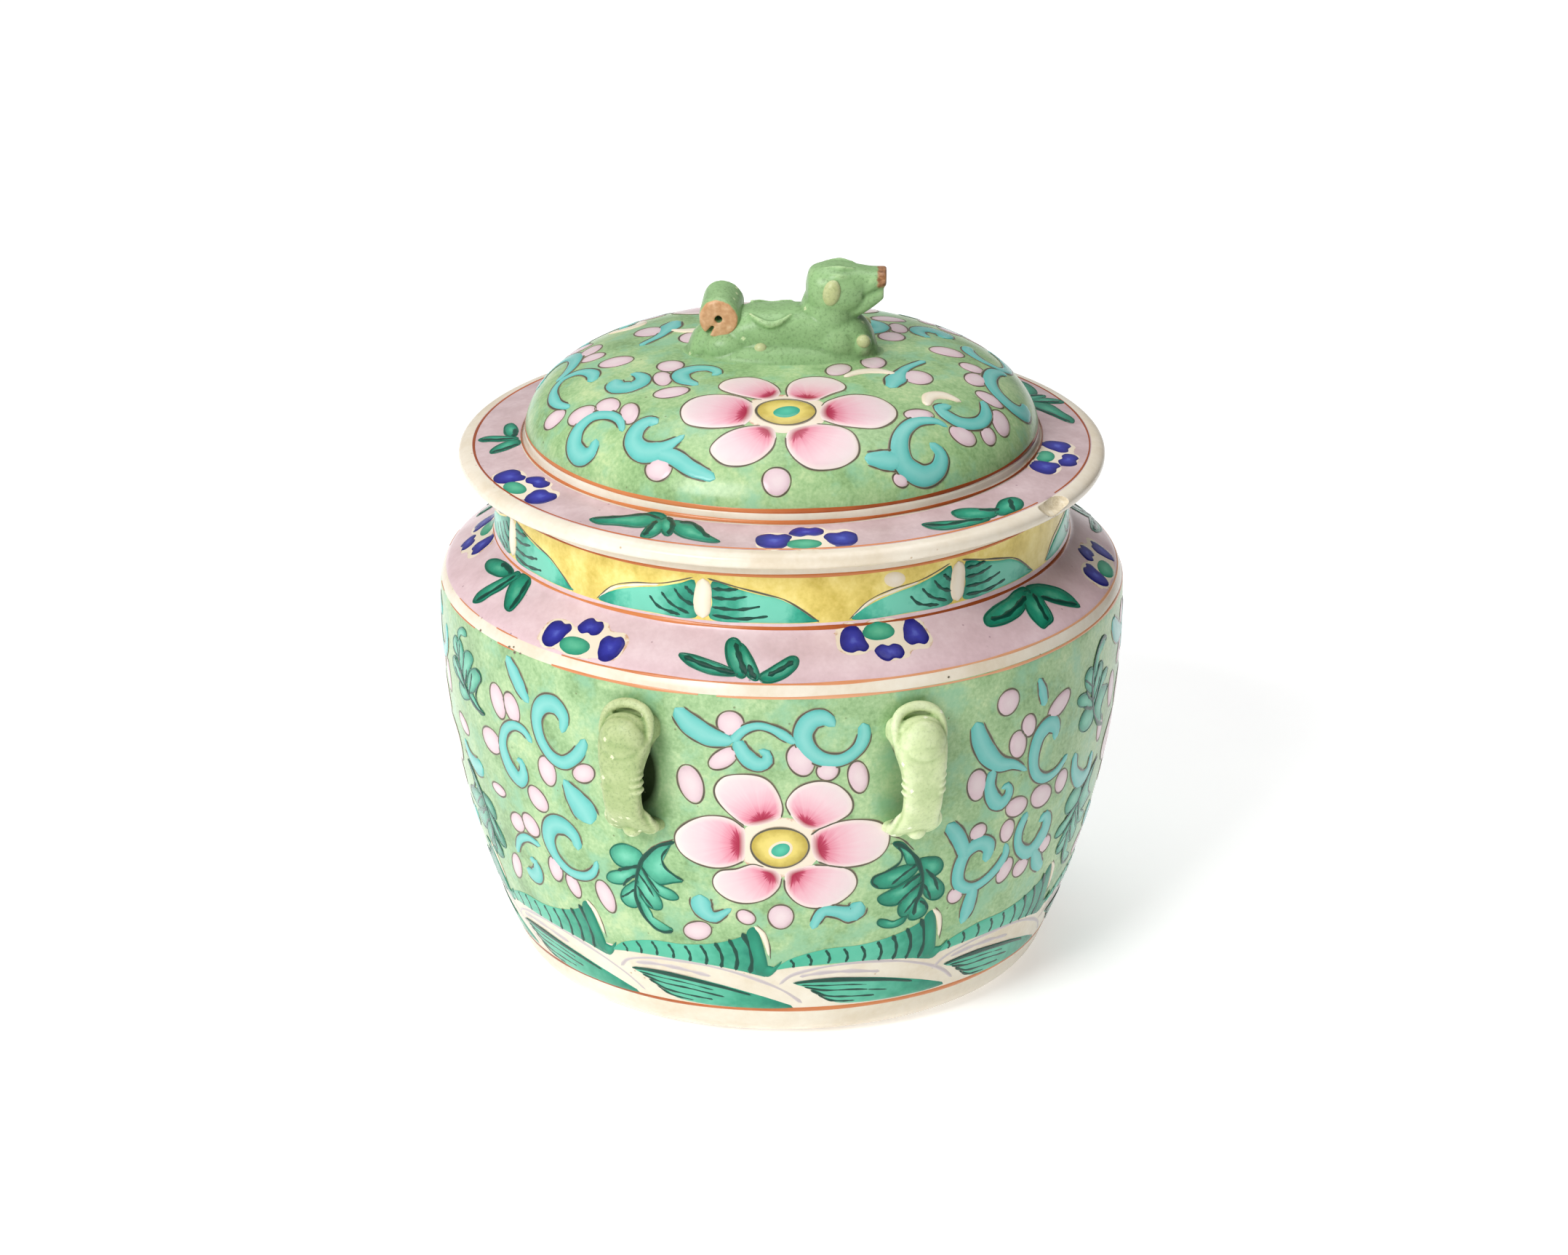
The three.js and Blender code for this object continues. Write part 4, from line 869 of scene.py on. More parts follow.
ring("red", BODY, 7.9, 0.9, 0.15, 0.4)
ring("red_pale", SHOULDER, EDGE_LINE, 0.7, 0.1, 2.0, worn=1.0)
ring("red", NECK, 109.6, 0.6, 0.12, 1.0)
ring("red", SHOULDER, SHOULDER.arc[-1] - 1.5, 0.85, 0.1, 2.4, worn=0.5)
ring("red", FLANGE, 4.3, 0.5, 0.12, 0.8, broken=0.06)
ring("red", FLANGE, 15.0, 0.7, 0.1, 1.9)
ring("red", DOME, DOME.arc[-1] - 0.5, 0.95, 0.06, 2.2)
# the pale line where the green ends is worn away on the left, with a few specks of brown by it
BELLY_TOP = Zone(np.vstack([belly_side[-6:], shoulder_edge[1:6]]), 74.0, by_height=True)
ring("red_pale", BELLY_TOP, 87.1, 0.75, 0.16, 2.9, worn=0.9)
for x, z, size in ((-63.6, 87.5, 0.4), (-62.2, 87.9, 0.3), (-61.6, 86.9, 0.45), (-59.8, 87.2, 0.3),
    (-75, 87.5, 0.4), (38, 88.2, 0.3)):
    fill("outline", BELLY_TOP, oval((x, z), size, 0.7 * size, 20), crown=0.02, base=0.12, n=12, rings=4)
print("rings drawn")

# %% [markdown]
# ## Materials
# Every surface is a fired glaze or enamel: a glossy skin over a colour that is deeper where the
# enamel lies thick. Colours are given as sRGB hex and linearised by one function. Noise is scaled in
# real millimetres.


# %% Material helpers
def linear(hex_colour):
    """sRGB hex to linear RGBA."""
    c = np.array([int(hex_colour[i : i + 2], 16) for i in (1, 3, 5)]) / 255
    c = np.where(c <= 0.04045, c / 12.92, ((c + 0.055) / 1.055) ** 2.4)
    return (*c, 1.0)


def node(tree, kind, inputs=None, stops=None, **settings):
    """Adds a node with its settings, and links or sets its inputs. A hex colour is turned to linear.

    The stops of a colour ramp are (position, hex) pairs."""
    made = tree.nodes.new("ShaderNode" + kind)
    for key, value in settings.items():
        setattr(made, key, value)
    for key, value in (inputs or {}).items():
        if isinstance(value, bpy.types.NodeSocket):
            tree.links.new(value, made.inputs[key])
        else:
            made.inputs[key].default_value = linear(value) if isinstance(value, str) else value
    for k, (position, colour) in enumerate(stops or []):
        elements = made.color_ramp.elements
        element = elements[k] if k < len(elements) else elements.new(position)
        element.position, element.color = position, linear(colour)
    return made


def millimetres(tree):
    """Object coordinates in millimetres, which don't change as the piece moves."""
    place = node(tree, "TexCoord").outputs["Object"]
    return node(tree, "VectorMath", {0: place, 1: (1000, 1000, 1000)}, operation="MULTIPLY").outputs[0]


print("node helpers ready")

# %% [markdown]
# ## Glaze
# Fired glaze is glass. It has a clear skin, with IOR 1.5 as for common glass, and a faint orange-peel
# from the kiln that bends its reflections a little.


# %% Glaze
def finish(tree, colour, rough=0.2, bump=0.012, grain=1.2, coat=0.08, place=None, skin_rough=0.16):
    """The glaze's shader: colour under a smooth glassy skin with a slight orange-peel."""
    place = place or millimetres(tree)
    peel = node(tree, "TexNoise", {"Vector": place, "Scale": 1.0 / grain, "Detail": 2.0})
    bumped = node(tree, "Bump", {"Height": peel.outputs["Fac"], "Distance": 0.001 * bump, "Strength": 1.0})
    shader = tree.nodes["Principled BSDF"]
    tree.links.new(colour, shader.inputs["Base Color"])
    tree.links.new(bumped.outputs["Normal"], shader.inputs["Normal"])
    values = {"Roughness": rough, "IOR": 1.5, "Specular IOR Level": 0.26, "Coat Weight": coat,
        "Coat Roughness": skin_rough}
    for name, value in values.items():
        shader.inputs[name].default_value = value


def material(name):
    """A new node material and its tree."""
    made = bpy.data.materials.new(name)
    made.use_nodes = True
    return made, made.node_tree


print("glaze ready")

# %% [markdown]
# ## Ground glazes
# A ground is washed on over a large area, so it is cloudy. Broad noise gives the clouds, fine noise
# the grain of the pigment, and a sparse cell pattern gives the specks that burnt in.


# %% Ground glazes
def mottled(
    name, stops, size, fine, specks=None, rough=0.24, bump=0.02, grain=0.28, wash=None, pooled_and_shaded=False
):
    """A ground glaze: broad clouds of colour, finer mottling, and sparse specks.

    A wash is a second colour in clouds of its own. Round the lugs the colour is darker, partly from thick
    glaze gathered there and partly painted shade, and behind the lugs on -X lies a near-black painted shadow."""
    made, tree = material(name)
    place = millimetres(tree)
    broad = node(tree, "TexNoise", {"Vector": place, "Scale": 1 / size, "Detail": 4.0,
        "Roughness": 0.6}).outputs["Fac"]
    small = node(tree, "TexNoise", {"Vector": place, "Scale": 1 / fine, "Detail": 3.0,
        "Roughness": 0.6}).outputs["Fac"]
    blend = node(tree, "Math", {0: small, 1: grain, 2: broad}, operation="MULTIPLY_ADD").outputs[0]
    level = node(tree, "Math", {0: blend, 1: grain / 2}, operation="SUBTRACT").outputs[0]
    colour = node(tree, "ValToRGB", {"Fac": level}, stops).outputs["Color"]
    if wash:
        cloud = node(tree, "TexNoise", {"Vector": place, "Scale": 1 / 7.0, "Detail": 3.0,
            "Roughness": 0.55}).outputs["Fac"]
        thick = node(tree, "MapRange", {0: cloud, 1: 0.5, 2: 0.68, 3: 0.0, 4: 0.7}).outputs[0]
        colour = node(tree, "Mix", {0: thick, 6: colour, 7: wash}, data_type="RGBA").outputs[2]
    # painted shade round the lugs, over the thicker glaze there, then a near-black painted shadow behind them
    # on -X
    if pooled_and_shaded:
        pool_and_shade = lug_pool_and_shade(tree, place, 9.5, 20.0, 0.45)
        colour = node(tree, "Mix", {0: pool_and_shade, 6: colour, 7: "#6f9a62"}, data_type="RGBA").outputs[2]
        painted_shadow = lug_pool_and_shade(tree, place, 5.8, 10.2, 0.95, shadow_side=True)
        colour = node(tree, "Mix", {0: painted_shadow, 6: colour, 7: "#18220c"}, data_type="RGBA").outputs[2]
    if specks:
        spots = node(tree, "TexVoronoi", {"Vector": place, "Scale": 0.22}).outputs["Distance"]
        hit = node(tree, "MapRange", {0: spots, 1: 0.035, 2: 0.075, 3: 0.75, 4: 0.0}).outputs[0]
        colour = node(tree, "Mix", {0: hit, 6: colour, 7: specks}, data_type="RGBA").outputs[2]
    finish(tree, colour, rough, bump, place=place)
    return made


def lug_pool_and_shade(tree, place, wide, tall, amount, shadow_side=False):
    """1 in an oval of wall behind each lug, 0 outside: a mask for painted shade. For the darker painted
    shadow the mask fades to a tenth towards +X, so that shadow lies behind the lugs on -X.
    """
    x, y, z = node(tree, "SeparateXYZ", {0: place}).outputs
    side = node(tree, "Math", {0: x}, operation="ABSOLUTE").outputs[0]
    deep = node(tree, "Math", {0: y}, operation="ABSOLUTE").outputs[0]
    side = node(tree, "Math", {0: side, 1: LUG_COS / wide}, operation="MULTIPLY").outputs[0]
    along = node(tree, "Math", {0: deep, 1: -LUG_SIN / wide, 2: side}, operation="MULTIPLY_ADD").outputs[0]
    up = node(tree, "Math", {0: z, 1: 1 / tall, 2: -67.6 / tall}, operation="MULTIPLY_ADD").outputs[0]
    both = node(tree, "CombineXYZ", {0: along, 1: up}).outputs[0]
    far = node(tree, "VectorMath", {0: both}, operation="LENGTH").outputs["Value"]
    pool_and_shade = node(tree, "MapRange", {0: far, 1: 1.0, 2: 0.72, 3: 0.0, 4: amount}).outputs[0]
    if not shadow_side:
        return pool_and_shade
    half = node(tree, "MapRange", {0: x, 1: 6.0, 2: -6.0, 3: 0.1, 4: 1.0}).outputs[0]
    return node(tree, "Math", {0: pool_and_shade, 1: half}, operation="MULTIPLY").outputs[0]


print("ground glazes ready")

# %% [markdown]
# ## Enamels
# An enamel is ground coloured glass, laid on thick. It looks deeper where the brush left more, so the
# tone stored with each point of paint picks the colour.


# %% Enamels
def toned(name, stops, streak=None, size=2.2, rim=None):
    """An enamel whose colour follows the tone painted into the mesh, with slight clouding."""
    made, tree = material(name)
    place = millimetres(tree)
    tone = node(tree, "Attribute", attribute_name="tone").outputs["Fac"]
    wander = node(tree, "TexNoise", {"Vector": place, "Scale": 1 / size, "Detail": 3.0,
        "Roughness": 0.55}).outputs["Fac"]
    if streak:
        uv = node(tree, "UVMap", uv_map="brush").outputs["UV"]
        long = node(tree, "VectorMath", {0: uv, 1: streak}, operation="MULTIPLY").outputs[0]
        wander = node(tree, "TexNoise", {"Vector": long, "Scale": 1.0, "Detail": 2.0}).outputs["Fac"]
    sway = 0.22 if streak else 0.5
    shift = node(tree, "Math", {0: wander, 1: sway, 2: tone}, operation="MULTIPLY_ADD").outputs[0]
    level = node(tree, "Math", {0: shift, 1: sway / 2}, operation="SUBTRACT").outputs[0]
    colour = node(tree, "ValToRGB", {"Fac": level}, stops).outputs["Color"]
    if rim:
        across = node(tree, "SeparateXYZ", {0: uv}).outputs[1]
        edge = node(tree, "MapRange", {0: across, 1: 0.8, 2: 1.0}).outputs[0]
        colour = node(tree, "Mix", {0: edge, 6: colour, 7: rim}, data_type="RGBA").outputs[2]
    cloud = node(tree, "TexNoise", {"Vector": place, "Scale": 1 / 5.0, "Detail": 2.0,
        "Roughness": 0.55}).outputs["Fac"]
    veil = node(tree, "MapRange", {0: cloud, 3: 0.0, 4: 0.35}).outputs[0]
    colour = node(tree, "Mix", {0: veil, 6: colour, 7: "#808080"}, data_type="RGBA",
        blend_type="SOFT_LIGHT").outputs[2]
    finish(tree, colour, 0.22, 0.03, place=place)
    return made


print("enamels ready")

# %% [markdown]
# ## Palette
# Each entry is one real glaze or enamel, and its colours go in order of tone.

# %% Palette
# glossy green ground enamel, cloudy where it was washed on, with painted shade round the lugs and a
# near-black painted shadow behind them on -X
GREEN = mottled("green_ground", [(0.26, "#7a9c69"), (0.44, "#93b682"), (0.58, "#a4c491"), (0.74, "#bcd3a0")],
    11, 0.9, "#6d7550", grain=0.6, wash="#8cc09c", pooled_and_shaded=True)
# the dome's green is a little yellower, and it has no lugs, so it carries no painted shade
GREEN_DOME = mottled("green_dome", [(0.26, "#7d9f6a"), (0.44, "#95b881"), (0.58, "#a6c58f"),
    (0.74, "#bed39d")], 11, 0.9, "#6d7550", grain=0.6, wash="#8cc09c")
# lavender ground of the shoulder
LAVENDER = mottled("lavender_ground", [(0.3, "#d0b3b7"), (0.5, "#dcc0c5"), (0.7, "#e6ced2")], 12, 1.0,
    "#a98790")
# the greyer lavender of the cover's flange
LAVENDER_LID = mottled("lavender_flange", [(0.3, "#bfa5a6"), (0.5, "#cbb2b4"), (0.7, "#d8c1c3")], 9, 1.0,
    "#a98790")
# creamy porcelain body under clear glaze
CREAM = mottled("cream_porcelain", [(0.3, "#dcceb6"), (0.5, "#e6dbc8"), (0.72, "#eee6d6")], 16, 1.4,
    "#b89a74")
# yellow neck enamel, clouded where it ran thin
YELLOW_GROUND = mottled("yellow_ground", [(0.28, "#c8b04c"), (0.5, "#e3cd6e"), (0.7, "#f2e08e")], 7, 1.0)
# rough broken porcelain in the chip
CHIPPED = mottled("chipped_porcelain", [(0.3, "#cdbd9c"), (0.55, "#e8dabd"), (0.75, "#f2e8d2")], 2.0, 0.5,
    None, 0.5, 0.08)
# bare fired clay of the foot's flat
BISCUIT = mottled("bare_foot", [(0.3, "#cdb494"), (0.55, "#e2cfb2"), (0.75, "#efe2cb")], 4, 0.6, None, 0.6,
    0.06)
# crimson at a petal's root, then rose, then pale pink
PETAL_STOPS = [(0.05, "#a82445"), (0.125, "#b93f5e"), (0.16, "#dc8599"), (0.32, "#e6b0bc"), (0.58, "#e8cacf"),
    (0.9, "#e6d6d6")]
# the enamels of the painting
PAINTS = {
    "turquoise": toned("turquoise_enamel", [(0.1, "#84ccc4"), (0.6, "#70c4bc"), (1.0, "#5bb0a9")], size=4.0),
    "pink": toned("pale_pink_enamel", [(0.2, "#e5d3d5"), (0.7, "#e0c9ce"), (1.0, "#d3b8bf")]),
    "petal": toned("petal_enamel", PETAL_STOPS, streak=(11.0, 0.6, 0), rim="#ecdfd8"),
    "yellow": toned("yellow_enamel", [(0.1, "#ecdb8c"), (0.6, "#e0ce72"), (0.95, "#bda84c")]),
    "eye": toned("eye_enamel", [(0.1, "#5cc4a6"), (1.0, "#38a58c")]),
    "white": toned("white_enamel", [(0.2, "#efe6d4"), (1.0, "#e4d6bc")]),
    "halo": toned("cream_halo", [(0.2, "#eee2cf"), (0.93, "#eadcc8"), (1.0, "#cfa98c")]),
    "leaf": toned("leaf_enamel", [(0.0, "#62bb9b"), (0.45, "#2f9c7e"), (1.0, "#12755b")], size=1.4),
    "foliage": toned("leaf_enamel_light", [(0.0, "#7ccdb1"), (0.5, "#5ab798"), (1.0, "#2f9177")], size=1.6),
    "leaf_edge": toned("leaf_edge_enamel", [(0.2, "#0d5f4a"), (1.0, "#1f7c62")], size=2.0),
    "panel": toned("panel_enamel", [(0.0, "#4bb495"), (0.4, "#62c1a4"), (0.72, "#3aa183"), (1.0, "#17806a")],
        size=2.6),
    "arch": toned("arch_enamel", [(0.03, "#12917a"), (0.16, "#35ac90"), (0.32, "#74cdb4"), (0.6, "#72cab1"),
            (0.8, "#3ba68a"), (1.0, "#107a64")], size=3.0),
    "panel_end": toned("deep_green_enamel", [(0.1, "#2a9a7c"), (1.0, "#177e64")]),
    "vein": toned("vein_enamel", [(0.2, "#0c4438"), (1.0, "#155646")]),
    "outline": toned("outline_enamel", [(0.1, "#494a3d"), (0.5, "#6a6453"), (0.85, "#998b71")], size=8.0),
    "shade": toned("grey_line", [(0.2, "#c3b8bb"), (1.0, "#d9cfc9")]),
    "indigo": toned("indigo_enamel", [(0.0, "#5a66c2"), (0.3, "#3a3da6"), (0.7, "#2b2c8c"), (1.0, "#221d6c")],
        size=1.6),
    "mint": toned("mint_enamel", [(0.1, "#62bb98"), (0.6, "#46a685"), (1.0, "#27866b")], size=1.8),
    "red": toned("iron_red_line", [(0.1, "#9c4c24"), (0.5, "#c06a38"), (0.9, "#d28450")], size=7.0),
    "red_pale": toned("pale_iron_red", [(0.1, "#dfa67e"), (0.6, "#d99568"), (1.0, "#cd7f50")], size=7.0),
}
print("materials:", len(bpy.data.materials))

# %% [markdown]
# ## The turned pieces
# A turned piece is a grid of points: one row for each profile point and one column for each step
# round. Rows on the axis become a single point, so the skin is closed.


# %% Turning
def new_object(name, points, faces, materials, body, face_material=None, tone=None, uv=None):
    """A smooth mesh object from arrays, riding on a body."""
    mesh = bpy.data.meshes.new(name)
    mesh.from_pydata([], [], [])
    sizes = np.array([len(f) for f in faces]) if isinstance(faces, list) else np.full(len(faces),
        faces.shape[1])
    flat = np.concatenate([np.asarray(f) for f in faces]) if isinstance(faces, list) else faces.ravel()
    mesh.vertices.add(len(points))
    mesh.vertices.foreach_set("co", np.asarray(points, np.float32).ravel())
    mesh.loops.add(len(flat))
    mesh.loops.foreach_set("vertex_index", flat.astype(np.int32))
    mesh.polygons.add(len(sizes))
    mesh.polygons.foreach_set("loop_start", np.concatenate([[0], np.cumsum(sizes)[:-1]]).astype(np.int32))
    mesh.polygons.foreach_set("loop_total", sizes.astype(np.int32))
    for each in materials:
        mesh.materials.append(each)
    if face_material is not None:
        mesh.polygons.foreach_set("material_index", np.asarray(face_material, np.int32))
    mesh.polygons.foreach_set("use_smooth", np.ones(len(sizes), bool))
    mesh.update(calc_edges=True)
    if tone is not None:
        mesh.attributes.new("tone", "FLOAT", "POINT").data.foreach_set("value", np.asarray(tone, np.float32))
    if uv is not None:
        mesh.uv_layers.new(name="brush").data.foreach_set("uv", np.asarray(uv, np.float32)[flat].ravel())
    mesh.validate()
    made = bpy.data.objects.new(name, mesh)
    bpy.context.scene.collection.objects.link(made)
    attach(made, body)
    return made


def chipped(points):
    """Pushes the points inside the chip's rough egg back onto its surface; also says which were inside."""
    out = np.array([math.sin(CHIP_AZIMUTH), -math.cos(CHIP_AZIMUTH), 0])
    along = np.array([-out[1], out[0], 0])
    away = points - (out * (FLANGE_R + 0.3) + [0, 0, CHIP_Z])
    u, v, w = away @ out, away @ along, away[:, 2]
    wobble = 1 + 0.08 * np.sin(0.9 * v + 1.3 * w + 0.6)
    far = np.sqrt(u**2 + (v / 1.7) ** 2 + w**2) / (CHIP_R * wobble)
    inside = far < 1
    moved = points + away * (1 / np.maximum(far, 0.1) - 1)[:, None]
    return np.where(inside[:, None], moved, points), inside


def turn_profile(name, parts, materials, body, chip=False):
    """Revolves parts of (profile points, material number). The first and last point lie on the axis."""
    profile = np.vstack([p if i == 0 else p[1:] for i, (p, _) in enumerate(parts)])
    number = np.concatenate([[m] * (len(p) - 1) for p, m in parts])
    segments = 360
    angle = np.linspace(0, 2 * math.pi, segments, endpoint=False)
    if chip:
        angle = np.sort(np.concatenate([angle, CHIP_AZIMUTH + np.linspace(-0.1, 0.1, 80)]))
        segments = len(angle)
    inner = profile[1:-1]
    ring_points = np.stack(
        [
            inner[:, :1] * np.sin(angle),
            -inner[:, :1] * np.cos(angle),
            np.broadcast_to(inner[:, 1:], (len(inner), segments)),
        ],
        -1,
    )
    points = np.vstack([ring_points.reshape(-1, 3), [[0, 0, profile[0, 1]], [0, 0, profile[-1, 1]]]]) / 1000
    i, j = np.meshgrid(np.arange(len(inner) - 1), np.arange(segments), indexing="ij")
    a, b = i * segments + j, i * segments + (j + 1) % segments
    quads = np.stack([a, b, b + segments, a + segments], -1).reshape(-1, 4)
    k = np.arange(segments)
    first, last = len(points) - 2, len(points) - 1
    base = (len(inner) - 1) * segments
    start = [(first, (q + 1) % segments, q) for q in k]
    end = [(last, base + q, base + (q + 1) % segments) for q in k]
    numbers = np.concatenate([np.repeat(number[1:-1], segments), [number[0]] * segments,
        [number[-1]] * segments])
    if chip:
        moved, inside = chipped(points[:-2] * 1000)
        points[:-2] = moved / 1000
        numbers[: len(quads)][inside[quads].sum(1) > 2] = 3
    made = new_object(name, points, [tuple(q) for q in quads] + start + end, materials, body, numbers)
    if chip:
        made.data.polygons.foreach_set("use_smooth", numbers != 3)
    return made


def chain(*pieces):
    """Joins profile pieces end to end; where two meet, their shared point is kept once."""
    return np.vstack([pieces[0]] + [piece[1:] for piece in pieces[1:]])


def split(profile, height):
    """Splits a rising profile in two at a height."""
    at = np.array([np.interp(height, profile[:, 1], profile[:, 0]), height])
    below = profile[profile[:, 1] < height]
    above = profile[profile[:, 1] > height]
    return np.vstack([below, at]), np.vstack([at, above])


print("turning tools ready")

# %% [markdown]
# ## The jar
# From the recessed base out over the foot ring, up the belly and the shoulder to the neck's rim, and
# down the inside to the floor. The foot ring is left bare, since glaze would stick to the kiln shelf.

# %% The jar
foot_heel = bend([52.2, 0.25], [58.2, 0.8], [float(belly(HEEL_Z)), HEEL_Z], 10)
belly_low, belly_rest = split(belly_side, BORDER_Z)
belly_cream, belly_border = split(belly_low, FOOT_CREAM_Z)
belly_mid, belly_top = split(np.vstack([belly_rest, shoulder_edge[1:7]]), GREEN_Z)
inner_heights = np.linspace(BELLY_Z, FLOOR_BEND_Z, 30)
inside = np.stack([belly(inner_heights) - WALL, inner_heights], 1)
floor_edge = float(belly(FLOOR_BEND_Z)) - WALL
jar_parts = [
    (chain(straight([0, 2.6], [46.2, 2.6], 6), bend([46.2, 2.6], [47.5, 2.5], [47.7, 0.5], 5)), 0),
    (
        chain(
            bend([47.7, 0.5], [47.8, FOOT_LIFT], [48.4, FOOT_LIFT], 4),
            straight([48.4, FOOT_LIFT], [51.4, FOOT_LIFT], 3),
            bend([51.4, FOOT_LIFT], [52, FOOT_LIFT], [52.2, 0.25], 4),
        ),
        4,
    ),
    (foot_heel, 0),
    (chain(belly_cream, belly_border), 0),
    (belly_mid, 1),
    (belly_top, 0),
    (chain(shoulder_edge[6:], shoulder_side, neck_fillet[:8]), 2),
    (chain(neck_fillet[7:], straight([NECK_R, YELLOW_Z], [NECK_R, YELLOW_TOP_Z], 8)), 3),
    (
        chain(
            straight([NECK_R, YELLOW_TOP_Z], [NECK_R, 112.5], 4),
            bend([NECK_R, 112.5], [NECK_R, RIM_Z], [62, RIM_Z], 6),
            straight([62, RIM_Z], [60, RIM_Z], 3),
            bend([60, RIM_Z], [59, RIM_Z], [59, 112.5], 6),
            straight([59, 112.5], [59, INNER_NECK_Z], 6),
        ),
        0,
    ),
    (
        chain(
            bend([59, INNER_NECK_Z], [71.3, 88], [71.3, 84], 12),
            inside,
            bend([floor_edge, FLOOR_BEND_Z], [floor_edge - 2.5, FLOOR_Z], [floor_edge - 12, FLOOR_Z], 10),
            straight([floor_edge - 12, FLOOR_Z], [0, FLOOR_Z], 8),
        ),
        0,
    ),
]
jar = turn_profile("jar_glaze", jar_parts, [CREAM, GREEN, LAVENDER, YELLOW_GROUND, BISCUIT], "jar")
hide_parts("jar_body")
print("jar glaze:", len(jar.data.polygons), "faces")

# %% [markdown]
# ## The cover
# The cover's profile runs from the inside of the dome down the collar, out under the flange, round
# its lip and back up to the crown. The chip bares rough porcelain.

# %% The cover
inner_dome = dome_side(DOME_R - COVER_WALL, FLANGE_Z + 2, CROWN - COVER_WALL - FLANGE_Z - 2, 40)
cover_parts = [
    (inner_dome, 0),
    (
        chain(
            bend([52.1, 115.8], [52.4, 114.2], [55.3, 113.8], 6),
            straight([55.3, 113.8], [55.3, 107.4], 4),
            bend([55.3, 107.4], [55.3, COLLAR_Z], [56, COLLAR_Z], 4),
            straight([56, COLLAR_Z], [57.6, COLLAR_Z], 3),
            bend([57.6, COLLAR_Z], [COLLAR_R, COLLAR_Z], [COLLAR_R, 107.6], 4),
            straight([COLLAR_R, 107.6], [COLLAR_R, FLANGE_Z], 4),
        ),
        0,
    ),
    (straight([COLLAR_R, FLANGE_Z], [69.2, FLANGE_Z], 8), 0),
    (chain(bend([69.2, FLANGE_Z], [FLANGE_R, FLANGE_Z], [FLANGE_R, 115.5], 8), flange_lip), 0),
    (flange_side, 2),
    (
        chain(
            bend([57.2, 118.9], [56.3, 119.1], [56.3, 120.2], 5),
            bend([56.3, 120.2], [56.3, 121.0], [DOME_R, DOME_FOOT], 4),
        ),
        0,
    ),
    (dome_profile[:-4:-1], 0),
    (dome_profile[-3::-1], 1),
]
cover = turn_profile("cover_glaze", cover_parts, [CREAM, GREEN_DOME, LAVENDER_LID, CHIPPED], "lid",
    chip=True)
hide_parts("cover")
print("turned:", [(o.name, len(o.data.polygons)) for o in (jar, cover)])

# %% [markdown]
# ## Paint onto the pot
# Each pot becomes one mesh.

# %% Paint meshes
for name, patches in POTS.items():
    owner, pot = name.split("_", 1)
    count = np.cumsum([0] + [len(p[0]) for p in patches])
    faces = [
        tuple(int(v) + int(start) for v in face) for start, patch in zip(count, patches) for face in patch[1]
    ]
    points = np.vstack([p[0] for p in patches])
    tone = np.concatenate([p[2] for p in patches])
    uv = np.vstack([p[3] for p in patches])
    body = "lid" if owner == "cover" else "jar"
    new_object(f"{owner}_paint_{pot}", points, faces, [PAINTS[pot]], body, None, tone, uv)
    print(f"{owner}_paint_{pot}: {len(faces)} faces")

# %% [markdown]
# ## Modelled pieces
# The lugs and the lion were pressed and modelled in clay, then softened by glaze. Each is built from
# overlapping closed forms, fused by a fine voxel remesh, and relaxed so that the joins read as luted
# clay under glaze.


# %% Modelling tools
def grid_solid(rows):
    """Closes a grid of rings into a solid: a fan at each end."""
    rows = np.asarray(rows, float)
    n, m = rows.shape[:2]
    points = np.vstack([rows.reshape(-1, 3), rows[0].mean(0), rows[-1].mean(0)])
    i, j = np.meshgrid(np.arange(n - 1), np.arange(m), indexing="ij")
    a, b = i * m + j, i * m + (j + 1) % m
    quads = np.stack([a, b, b + m, a + m], -1).reshape(-1, 4)
    k, last = np.arange(m), (n - 1) * m
    start = np.stack([np.full(m, n * m), (k + 1) % m, k], 1)
    end = np.stack([np.full(m, n * m + 1), last + k, last + (k + 1) % m], 1)
    return points, [tuple(int(v) for v in f) for part in (quads, start, end) for f in part]


def egg(middle, radii, tilt=0.0):
    """An ellipsoid, tilted about Y by degrees."""
    u = np.linspace(0.02, math.pi - 0.02, 24)[:, None]
    v = np.linspace(0, 2 * math.pi, 32, endpoint=False)[None]
    p = np.stack([np.sin(u) * np.cos(v), np.sin(u) * np.sin(v), -np.cos(u) * np.ones_like(v)], -1) * radii
    c, s = math.cos(math.radians(tilt)), math.sin(math.radians(tilt))
    return grid_solid(p @ np.array([[c, 0, -s], [0, 1, 0], [s, 0, c]]) + np.asarray(middle, float))


def tube(path, radii, n=40, m=20):
    """A round tube along a smooth path: n rings of m points, with the radius eased between radii."""
    curve = smooth(path, n)
    radius = np.interp(np.linspace(0, 1, n), np.linspace(0, 1, len(radii)), radii)[:, None, None]
    along = np.gradient(curve, axis=0)
    along /= np.linalg.norm(along, axis=1, keepdims=True)
    side = np.broadcast_to(np.array([0.0, 1.0, 0.0]), curve.shape)
    side = side - (side * along).sum(1, keepdims=True) * along
    side /= np.linalg.norm(side, axis=1, keepdims=True)
    up = np.cross(along, side)
    v = np.linspace(0, 2 * math.pi, m, endpoint=False)[None, :, None]
    return grid_solid(curve[:, None] + radius * (np.cos(v) * side[:, None] + np.sin(v) * up[:, None]))


def clay(name, solids, materials, body, voxel=0.32, relax=6, place=None):
    """Joins closed forms into one clay piece, remeshed and relaxed."""
    points, faces = [], []
    for p, f in solids:
        start = sum(len(q) for q in points)
        points.append(p)
        faces += [tuple(v + start for v in face) for face in f]
    points = np.vstack(points)
    points = (place(points) if place else points) / 1000
    made = new_object(name, points, faces, materials, body)
    remesh = made.modifiers.new("voxels", "REMESH")
    remesh.mode, remesh.voxel_size, remesh.use_smooth_shade = "VOXEL", voxel / 1000, True
    soften = made.modifiers.new("soften", "SMOOTH")
    soften.iterations, soften.factor = relax, 0.6
    return made


print("modelling tools ready")

# %% [markdown]
# ## Lugs
# A lug is modelled in its own directions: across, outwards from the wall, and up.


